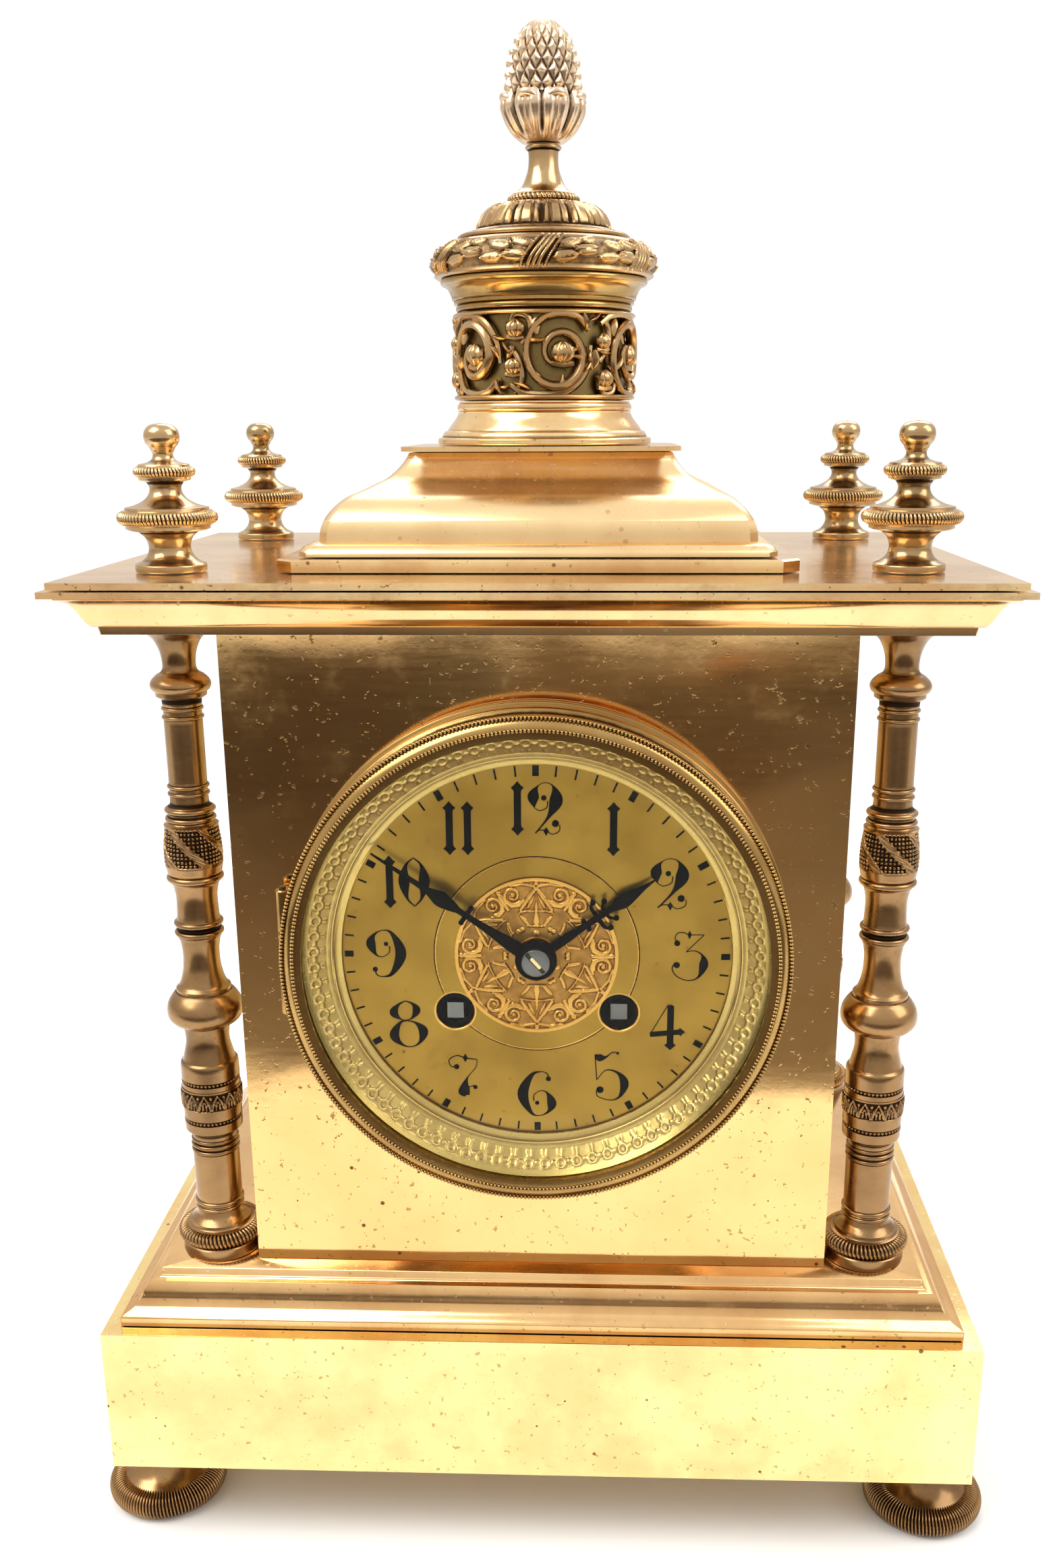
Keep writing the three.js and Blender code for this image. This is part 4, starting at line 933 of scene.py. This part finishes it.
# ---- dial ------------------------------------------------------------------------------
def ribbon(shape, line, bottom, top, edge=0.02, turn=0.0, center=(0, 0), smooth=True, sides=6):
    """A flat raised stroke on the dial along [right, up, half width], with chamfered edges."""
    line = spline(line, sides) if smooth and len(line) > 2 else np.array(line, float)
    ahead = np.gradient(line[:, :2], axis=0)
    ahead /= np.maximum(np.linalg.norm(ahead, axis=1, keepdims=True), 1e-9)
    left = np.c_[-ahead[:, 1], ahead[:, 0]]
    half = np.maximum(line[:, 2], 0.04)
    rim = np.minimum(edge, half * 0.5)
    rows = []
    for side, inset, height in ((1, 0, bottom), (-1, 0, bottom), (-1, 0, top - edge), (-1, 1, top),
                                (1, 1, top), (1, 0, top - edge)):
        flat = line[:, :2] + side * left * (half - inset * rim)[:, None]
        rows.append(np.c_[flat, np.full(len(line), height)])
    points = np.stack(rows, 1)
    caps = [np.repeat(p.mean(0, keepdims=True), 6, 0)[None] for p in (points[0], points[-1])]
    points = np.concatenate([caps[0], points, caps[1]])
    c, s = math.cos(turn), math.sin(turn)
    x, y = points[..., 0].copy(), points[..., 1].copy()
    points[..., 0], points[..., 1] = center[0] + x * c + y * s, center[1] - x * s + y * c
    return shape.grid(on_dial(points))


def round_dot(shape, x, y, size, bottom, top, edge=0.02, turn=0.0, center=(0, 0)):
    """A raised round on the dial, as part of a numeral or hand."""
    c, s = math.cos(turn), math.sin(turn)
    x, y = center[0] + x * c + y * s, center[1] - x * s + y * c
    shape.lathe([(0, bottom), (size, bottom), (size, top - edge), (size - edge, top), (0, top)], 20,
                place=lambda p: on_dial(p + np.array([x, y, 0])))


ONE = [[(0, 6.6, .05), (0, 5.6, .95), (0, 5.05, 1.7), (0, 4.3, .95), (0, 2, .95), (0, -4.3, .95),
        (0, -5.05, 1.7), (0, -5.6, .95), (0, -6.6, .05)]]
SIX = [[(3, 4.2, .2), (2.6, 5.4, .18), (1, 5.9, .15), (-1.6, 4.9, .6), (-4, -.2, 1.5), (-1.8, -5.2, .5),
        (.6, -6.1, .13), (3, -4.9, .4), (3.9, -2.6, 1.3), (2.6, .2, .3), (.8, .7, .12), (-.9, -.4, .14),
        (-1, -2, .2)]]
SIX_DOTS = [(3, 4, .7), (-.1, -2.6, .6)]
# each digit: its strokes of [right, up, half width], then its round ends of [right, up, radius]
DIGITS = {
    "0": ([[(0, 6.1, .14), (-2, 4.2, .4), (-2.6, .3, 1.5), (-1.9, -4, .4), (0, -6.1, .14)],
           [(0, -6.1, .14), (1.9, -4, .4), (2.7, .3, 1.5), (2, 4.2, .4), (0, 6.1, .14)]], []),
    "1": (ONE, []),
    "2": ([[(-3.2, .2, .1), (-3.5, 2.9, 1.5), (-2.3, 5.3, .25), (0, 6.3, .12), (2.4, 5.4, .3), (3.3, 2, 1.75),
            (1, -2, .45), (-2.9, -6, .15)],
           [(-3.1, .2, .12), (-1.6, -.5, .13), (.5, .3, .15), (.8, 1.9, .2)],
           [(-2.9, -5.8, .2), (-1.5, -5.2, .15), (.3, -5.4, .14), (2.2, -6.2, .13), (4.2, -5.4, .15),
            (4.4, -3.9, .15)], [(.3, -4.5, .05), (.3, -5.4, .75), (.3, -6.6, .05)]],
          [(-.35, 2.6, .72), (3.1, -3.6, .95)]),
    "3": ([[(-2.6, 3.6, .2), (-3.6, 4.6, .14), (-2.9, 6, .14), (-1.2, 6.1, .15), (.2, 5.6, .13),
            (4, 5.6, .12)],
           [(.2, 6.6, .05), (.2, 5.6, .6), (.2, 4.5, .05)], [(4, 5.6, .12), (-.6, 1.2, .12)],
           [(-.6, 1.2, .12), (1.6, 1.5, .14), (3.6, .4, .3), (4.1, -2, 1.2), (2.8, -5.2, .3), (.2, -6.2, .14),
            (-2.8, -5.2, .14), (-4.2, -3.2, .16), (-3.4, -1.6, .2)]], [(-3, 3.4, .8), (-3, -2.2, .85)]),
    "4": ([[(1.05, 5.9, .05), (1.05, 5.4, .9), (1.05, -4.4, .9), (1.05, -4.9, 1.6), (1.05, -6.2, .05)],
           [(-4.4, -2.1, .75), (3.4, -1.4, .75), (3.6, -1.4, 1.3), (4.9, -1.3, .05)],
           [(.4, 5.9, .14), (-4.2, -1.8, .14)]], []),
    "5": ([[(-4.5, 5.8, .1), (-3.2, 5.0, 1.1), (-1.4, 5.2, .3), (.2, 6.4, .14), (1.6, 6.4, .14)],
           [(-4.4, 5.6, .16), (-3.9, -1, .16)],
           [(-3.9, -1, .12), (-1.4, 1.6, .14), (1.8, .9, .4), (3.6, -1.9, 1.2), (2.4, -5.4, .4),
            (0, -6.5, .14), (-3.5, -5.6, .14), (-4, -3.9, .2)]], [(1.7, 6.2, .4), (-3, -3.7, 1)]),
    "6": (SIX, SIX_DOTS),
    "7": ([[(-1.9, 2.1, .2), (-3.4, 2.2, .14), (-3.9, 3.9, .15), (-1.8, 5.1, .16), (.5, 4.5, .2),
            (3.7, 4.1, .13)],
           [(.5, 5.6, .05), (.5, 4.5, .7), (.5, 3.4, .05)],
           [(3.7, 4.1, .13), (3.3, 2, .13), (.9, -1, .25), (0, -4.6, 1.6), (0, -6, .3)],
           [(1.2, -5.6, .3), (1.4, -3.4, .15), (2.9, -2.9, .15)]], [(-1.9, 2.1, .75), (3.1, -3.4, .6)]),
    "8": ([[(-.7, 6.1, .14), (-2.6, 5, .4), (-3.8, 3, 1.2), (-2.2, 1.4, .3), (-.7, 1, .15), (1, 1.6, .3),
            (2.3, 3.7, 1.1), (1.2, 5.4, .35), (-.7, 6.1, .14)],
           [(-.3, .9, .14), (-2.2, .3, .4), (-3.9, -3, 1.3), (-2, -5.4, .4), (.5, -6.1, .15), (2.9, -4.9, .4),
            (4, -1.9, 1.3), (2, .3, .35), (-.3, .9, .14)]], []),
    "9": ([[(-x, -y, w) for x, y, w in SIX[0]]], [(-x, -y, r) for x, y, r in SIX_DOTS]),
}
# each hour: its digits with their shift to the right and their narrowing
NUMERALS = {hour: [(str(hour), 0, 1)] for hour in range(1, 10)}
NUMERALS[10] = [("1", -3.7, 1), ("0", 2.7, 1)]
NUMERALS[11] = [("1", -2.35, 1), ("1", 2.35, 1)]
NUMERALS[12] = [("1", -4.7, 1), ("2", 2.4, 0.86)]


def build_dial():
    face = FRONT - low("dial_plate")[1]
    plate_low = face - 0.05
    shape = Shape()
    tall = 1.09
    for hour, digits in NUMERALS.items():
        angle = hour * TURN / 12
        middle_x, middle_y = 40 * math.sin(angle), 40 * math.cos(angle)
        for digit, shift, narrow in digits:
            strokes, dots = DIGITS[digit]
            for k, line in enumerate(strokes):
                line = [(x * narrow + shift, y * tall, w) for x, y, w in line]
                straight = digit in "14" or len(line) < 4
                ribbon(shape, line, plate_low, face + 0.07 + 0.006 * k, center=(middle_x, middle_y),
                       smooth=not straight)
            for x, y, size in dots:
                round_dot(shape, x * narrow + shift, y * tall, size, plate_low, face + 0.095,
                          center=(middle_x, middle_y))
    for minute in range(60):
        turn = minute * TURN / 60
        half = 0.85 if minute % 5 == 0 else 0.25
        ribbon(shape, [(0, 48.6, half), (0, 51.0, half)], plate_low, face + 0.07, turn=turn)
    shape.make("dial_numerals", CASE, BLACK, slot="gilt_brass")
    dress(GILT, "dial_plate", edge=0.12)

    hole_x, hole_y, hole_r = 21.9, -16.1, 5.45
    inside, outside = hole_r - 0.35, hole_r + 0.3
    collar = [(inside, face - 1.1), (inside, face - 0.1), (hole_r - 0.2, face + 0.05),
              (hole_r + 0.1, face + 0.05), (outside, face - 0.05), (outside, face - 0.9),
              (inside, face - 1.1)]
    # Black rings behind the winding holes: painted shade, so that the holes read black.
    hole_shade_ring = [(3.45, face - 1.7), (3.45, face - 1.35), (6.4, face - 1.35), (6.4, face - 1.7),
              (3.45, face - 1.7)]
    shape = Shape()
    shade = Shape()
    for x in (-hole_x, hole_x):
        for target, outline in ((shape, collar), (shade, hole_shade_ring)):
            target.lathe(outline, 72, place=lambda p, x=x: on_dial(p + [x, hole_y, 0]))
    shade.make("dial_hole_shade", CASE, BLACK, slot="gilt_brass")
    reach = math.hypot(hole_x, hole_y)
    gap = 2 * math.asin(outside / 2 / reach)
    low_angle = math.atan2(hole_y, hole_x)
    right, left = low_angle, math.pi - low_angle
    # Beside the raised ring runs a thin black tube: painted shade of the groove next to it.
    groove_shade = Shape()
    for start, end in ((right + gap, left - gap), (left + gap, right + TURN - gap)):
        t = np.linspace(start, end, 160)
        for target, radius, size in ((shape, reach - 0.3, 0.2), (groove_shade, reach + 0.02, 0.12)):
            arc = np.c_[radius * np.cos(t), radius * np.sin(t), np.full(160, face - 0.02)]
            target.tube(on_dial(arc), size, 8)
    groove_shade.make("dial_groove_painted_shade", CASE, BLACK, slot="gilt_brass")
    shape.make("dial_rings", CASE, EMBOSSED, slot="gilt_brass")
    build_medallion()


def build_medallion():
    bottom, top = (FRONT - v for v in (high("dial_medallion")[1], low("dial_medallion")[1]))
    outer = (high("dial_medallion")[0] - low("dial_medallion")[0]) / 2

    def palmette(angle, radius, height):
        sector = np.mod(angle - TURN / 4 + TURN / 12, TURN / 6) - TURN / 12
        x, y = np.abs(radius * np.sin(sector)), radius * np.cos(sector)
        strokes = [([(0.15, 18.6, 0.5), (1.9, 16.2, 0.65), (4.1, 12.8, 0.5)], 0.5),
                   ([(0.6, 16.6, 0.2), (1.4, 15, 0.5), (2.3, 13.3, 0.25)], 0.38),
                   ([(0, 12.6, 0.3), (2.4, 12.5, 0.35), (4.6, 12.0, 0.3)], 0.45),
                   ([(0, 15.4, 0.2), (0, 13.6, 0.5), (0, 12.4, 0.4)], 0.45),
                   ([(0, 12, 0.5), (0, 9.6, 0.95), (0, 8.4, 0.5)], 0.45),
                   ([(3.9, 10.8, 0.45), (3.0, 9.9, 0.6), (2.0, 8.6, 0.5)], 0.48),
                   ([(0, 8.3, 0.4), (2.4, 8.4, 0.3)], 0.42), (dot(0, 6.3, 0.85), 0.5),
                   (dot(3.6, 7.4, 0.75), 0.55), (dot(5.3, 6.5, 0.8), 0.55),
                   ([(3.6, 7.4, 0.3), (4.6, 6.2, 0.3), (5.3, 6.5, 0.3)], 0.38),
                   (spiral(6.2, 16.7, 2.6, 0.62, 1.35, 0.58, 0.3), 0.5), (dot(6.2, 16.7, 0.6), 0.5),
                   ([(3.3, 15.4, 0.35), (4.6, 13.9, 0.42), (6.4, 13.6, 0.42), (8.0, 14.8, 0.35)], 0.42),
                   ([(0.6, 19.3, 0.4), (3.6, 19.9, 0.4), (6.8, 19.2, 0.3)], 0.4), (dot(0, 20.1, 0.65), 0.5),
                   ([(7.4, 12.8, 0.55), (9.4, 16.3, 0.7)], 0.45), (dot(9.95, 17.2, 0.75), 0.55)]
        for step in range(7):
            strokes.append((dot(0.35 + 0.55 * step, 18.1 - 0.82 * step, 0.26), 0.62))
        lift = strokes_height(x, y, strokes)
        edge = smooth_step(radius, outer - 1.1, outer - 0.8) * 0.4 + (1 - smooth_step(radius, 5.1, 5.4)) * 0.4
        return np.where(height > top - 0.45, np.maximum(lift, edge) - 0.38, 0.0)

    outline = np.vstack([[(3.6, bottom), (outer, bottom), (outer, top - 0.2)],
                         np.c_[np.linspace(outer, 3.6, 84), np.full(84, top - 0.05)], [(3.6, bottom)]])
    shape = Shape(on_dial).lathe(outline, 720, palmette, patina=0.42)
    shape.stand_for("dial_medallion", EMBOSSED, "gilt_brass", depth=0.2, rounds=4)


# ---- hands -----------------------------------------------------------------------------
def hand_angle(node):
    """Clockwise from twelve, read from where the hand lies in the frame."""
    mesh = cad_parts[node].data
    points = np.zeros(len(mesh.vertices) * 3)
    mesh.vertices.foreach_get("co", points)
    points = points.reshape(-1, 3) / MM - [0, 0, DIAL_Z]
    tip = points[np.argmax(np.hypot(points[:, 0], points[:, 2]))]
    return math.atan2(tip[0], tip[2])


def build_hands():
    turn = hand_angle("minute_hand")
    low_d, high_d = 9.7, 10.3
    shape = Shape(on_dial)
    for line in ([(0, 3.5, 1.9), (0, 8, 1.8), (0, 14, 1.15), (0, 20, 0.8), (0, 24.5, 0.8)],
                 [(0, 24.4, 0.8), (0, 26.6, 1.5), (0, 29.8, 2.1), (0, 32.4, 1.4), (0, 34.4, 0.85),
                  (0, 40, 0.6), (0, 51.3, 0.22)]):
        ribbon(shape, line, low_d, high_d, 0.18, turn, sides=5)
    ribbon(shape, [(-2.4, 21.9, 0.35), (-1.6, 21.9, 0.62), (1.6, 21.9, 0.62), (2.4, 21.9, 0.35)], low_d,
           high_d - 0.02, 0.15, turn)
    for side in (-1, 1):
        round_dot(shape, side * 2.3, 21.9, 0.72, low_d, high_d, 0.15, turn)
    shape.lathe(profile((2.25, 9), (5.3, 9), [(5.5, 9.3), (5.5, 9.9), (5.2, 10.5), (4.5, 10.9)],
                        [(4.3, 11.5), (3.9, 11.5)], (2.25, 11.5), (2.25, 9)), 72)
    shape.stand_for("minute_hand", BLACK, "hand_black", "minute_arbor")

    def slot(angle, radius, height):
        across = np.abs(radius * np.sin(angle + 0.85))
        return -0.55 * (1 - smooth_step(across, 0.4, 0.55)) * (radius < 3.75) * (height > 11.7)

    dome = spline([(3.75, 11.9), (3.5, 12.15), (2.6, 12.34), (1.3, 12.4), (0, 12.4)], 6)
    pin = np.vstack([[(0, 10.6), (2.1, 10.6), (2.1, 11.52), (3.7, 11.52), (3.75, 11.6)], dome])
    shape = Shape(on_dial).lathe(pin, 240, slot)
    shape.make("hand_pin", "minute_arbor", STEEL, slot="hand_black", rounds=4)

    turn = hand_angle("hour_hand")
    low_d, high_d = 7.7, 8.3
    shape = Shape(on_dial)
    ribbon(shape, [(0, 3.5, 1.4), (0, 9, 1.2), (0, 15, 0.9), (0, 24, 0.8)], low_d, high_d, 0.18, turn)
    ribbon(shape, [(0, 22.4, 0.7), (0, 24.6, 1.1), (0, 27.6, 1.95), (0, 30.6, 1.5), (0, 34, 0.7),
                   (0, 37.9, 0.15)], low_d, high_d - 0.02, 0.18, turn)
    for side in (-1, 1):
        for x, y, size in ((1.25, 16.1, 0.7), (4.1, 21.0, 0.75), (2.75, 23.65, 0.75)):
            round_dot(shape, side * x, y, size, low_d, high_d - 0.03, 0.15, turn)
        for line in ([(0, 19.6, 0.6), (1.6, 19.7, 0.5), (3.2, 19.8, 0.45), (4.1, 20.6, 0.35)],
                     [(0, 22.0, 0.5), (1.6, 22.3, 0.4), (2.6, 23.2, 0.3)]):
            ribbon(shape, [(side * x, y, w) for x, y, w in line], low_d, high_d - 0.04, 0.15, turn)
    shape.lathe(profile((2.95, 7), (4.8, 7), [(5, 7.2), (5, 8.2), (4.7, 8.6)], (2.95, 8.6), (2.95, 7)), 72)
    shape.stand_for("hour_hand", BLACK, "hand_black", "hour_pipe")


# ---- movement, bell and back -----------------------------------------------------------
def build_inside():
    dress(FACING, "case_front", edge=0.35)
    dress(POLISHED, "case_side_left", "case_side_right", "case_back", edge=0.35)
    dress(MOVEMENT, "movement_front_plate", "movement_back_plate", "centre_wheel", "hour_wheel",
          "minute_wheel", "escape_wheel", "going_barrel", "strike_barrel", "pendulum", edge=0.12)
    dress(STEEL, "movement_strap_left", "movement_strap_right", "going_winding_arbor", "strike_winding_arbor",
          "pallet_anchor", "bell_stand", "strike_hammer", edge=0.12)
    bell_low, bell_high = low("bell"), high("bell")
    x, _, z = middle("bell")
    reach, deep, wall = (bell_high[0] - bell_low[0]) / 2, bell_high[1] - bell_low[1], 1.6
    t = np.linspace(0, math.pi / 2, 26)
    outside = np.c_[reach * np.cos(t), deep * np.sin(t)]
    inside = np.c_[(reach - wall) * np.cos(t[::-1]), (deep - wall) * np.sin(t[::-1])]
    hole = 3.2
    outside = outside[outside[:, 0] > hole]
    inside = inside[inside[:, 0] > hole]
    outline = np.vstack([outside, [(hole, deep)], [(hole, deep - wall)], inside, outside[:1]])
    shape = Shape().lathe(outline, 144, place=along_y(x, bell_low[1], z))
    shape.stand_for("bell", BELL_METAL, "bell_metal", sharp=50)


def build_door():
    hinge_x, hinge_y = middle("back_door_pin")[:2]
    disc = profile((0, 0.6), (57.8, 0.6), [(58, 0.8), (58, 2.2)], [(57, 2.9), (55, 3.3)], (54.4, 3.6),
                   (49.6, 3.6), (49.2, 3.1), (48.2, 3.1), (47.8, 3.5), (20.5, 3.5),
                   [(20.2, 3.1), (19.4, 3.1), (19.1, 3.5)], (0, 3.5))
    shape = Shape().lathe(disc, 192, place=along_y(0, BACK, DIAL_Z))
    knob = profile((0, 3), (2.6, 3), [(2.2, 3.8), (1.7, 5), (1.8, 6.2), (3, 7.2)], [(3.7, 8.2),
                    (3.6, 9.6), (2.4, 10.7), (0, 11)])
    knob_x, disc_edge = -46, 52
    half, leaf_half, leaf_thick = 5.5, 5, 0.9
    shape.lathe(knob, 64, place=along_y(knob_x, BACK, DIAL_Z))
    knuckle(shape, hinge_x, hinge_y, DIAL_Z - half, DIAL_Z + half)
    block(shape, (disc_edge, hinge_y - leaf_thick, DIAL_Z - leaf_half),
          (hinge_x, hinge_y + leaf_thick, DIAL_Z + leaf_half))
    shape.stand_for("back_door", POLISHED, "polished_brass", "door", rounds=3)


# ---- studio ----------------------------------------------------------------------------
def painted_reflection_glow():
    """A glowing dark warm card in front of the clock, seen only in its polished faces: a painted reflection
    of the surroundings, with orange glowing patches.
    """
    n = Nodes("painted_reflection_glow")
    place = n.add("TexCoord").outputs["Object"]
    soft = n.ramp(n.noise(place, 1.1, 3, 0.45), 0.36, 0.66)
    tone = n.mix(soft, rgb(0.075, 0.055, 0.045), rgb(0.25, 0.2, 0.16))
    glow = n.mix(n.ramp(n.noise(place, 2.3, 2, 0.4), 0.62, 0.72), tone, rgb(0.5, 0.2, 0.09))
    n.finish(rgb(0, 0, 0), 0.9, Specular_IOR_Level=0.0, Emission_Strength=1.0)
    n.set(n.shader.inputs["Emission Color"], glow)
    return n.owner


def white_paper():
    """Pale paper that runs into a lit white sweep well away from the clock."""
    n = Nodes("floor_paper")
    place = n.add("TexCoord").outputs["Object"]
    away = n.add("VectorMath", place, operation="LENGTH").outputs["Value"]
    sweep = n.ramp(away, 0.35, 1.3)
    tone = n.mix(n.noise(place, 3, 3, 0.5), rgb(0.92, 0.915, 0.9), rgb(0.9, 0.895, 0.88))
    n.finish(n.mix(sweep, tone, rgb(0, 0, 0)), 0.7, Specular_IOR_Level=0.2, Emission_Strength=1.0)
    n.set(n.shader.inputs["Emission Color"], n.mix(sweep, rgb(0, 0, 0), rgb(1, 1, 1)))
    return n.owner


def sheet(name, corners, material):
    mesh = bpy.data.meshes.new(name)
    mesh.from_pydata(corners, [], [(0, 1, 2, 3)])
    mesh.materials.append(material)
    piece = bpy.data.objects.new(name, mesh)
    bpy.context.scene.collection.objects.link(piece)
    return piece


def only_reflected(card):
    for ray in ("camera", "diffuse", "shadow", "transmission", "volume_scatter"):
        setattr(card, "visible_" + ray, False)


def softbox(name, place, target, size, watts):
    lamp = bpy.data.lights.new(name, "AREA")
    lamp.shape = "RECTANGLE"
    lamp.size, lamp.size_y = size
    lamp.energy = watts
    box = bpy.data.objects.new(name, lamp)
    box.location = place
    box.rotation_euler = (Vector(target) - Vector(place)).to_track_quat("-Z", "Y").to_euler()
    bpy.context.scene.collection.objects.link(box)


def build_studio():
    wide = 6.0
    sheet("floor", [(-wide, -wide, 0), (wide, -wide, 0), (wide, wide, 0), (-wide, wide, 0)], white_paper())
    side, near, far, lift = 1.4, -0.36, -2.05, 0.002
    corners = [(-side, near, lift), (-side, far, lift), (side, far, lift), (side, near, lift)]
    # Glowing card that only reflections see: a painted reflection in the polished brass.
    only_reflected(sheet("painted_reflection_card", corners, painted_reflection_glow()))
    softbox("key", (-0.9, -0.6, 1.5), (0, 0, 0.15), (1.1, 1.1), 20)
    softbox("fill", (1.2, -0.4, 1.2), (0, 0, 0.15), (0.9, 1.2), 10)
    softbox("back", (0.2, 1.2, 1.4), (0, 0, 0.2), (1.6, 0.8), 12)

    n = Nodes("studio", "worlds")
    n.tree.nodes.clear()
    height = n.add("SeparateXYZ", n.add("TexCoord").outputs["Generated"]).outputs["Z"]
    glow = n.mix(n.add("MapRange", height, -0.1, 0.8).outputs[0], rgb(0.7, 0.62, 0.54), rgb(1.0, 0.99, 0.97))
    lighting = n.add("Background", glow, 1.08).outputs[0]
    backdrop = n.add("Background", rgb(1, 1, 1), 1.0).outputs[0]
    seen = n.add("LightPath").outputs["Is Camera Ray"]
    n.add("OutputWorld", n.add("MixShader", seen, lighting, backdrop).outputs[0])
    bpy.context.scene.world = n.owner
    bpy.context.scene.view_settings.view_transform = "Standard"


def build_camera():
    """The viewpoint: a little right of centre, looking down on the clock."""
    lens = bpy.data.cameras.new("camera")
    lens.lens = 33.61
    lens.shift_x, lens.shift_y = -0.0119, 0.0535
    eye = Vector((16.5, -433.1, 316.8)) * MM
    pitch, roll, yaw = (math.radians(degrees) for degrees in (-16.94, 0.214, 2.108))
    camera = bpy.data.objects.new("camera", lens)
    upright = Matrix.Rotation(math.radians(90), 3, "X")
    turn = Euler((pitch, roll, yaw), "YXZ").to_matrix() @ upright
    camera.matrix_world = Matrix.Translation(eye) @ turn.to_4x4()
    bpy.context.scene.collection.objects.link(camera)
    bpy.context.scene.camera = camera


for build in (build_base, build_cornice, build_caddy, build_posts, build_tower, build_bezel, build_dial,
              build_hands, build_inside, build_door, build_studio, build_camera):
    build()
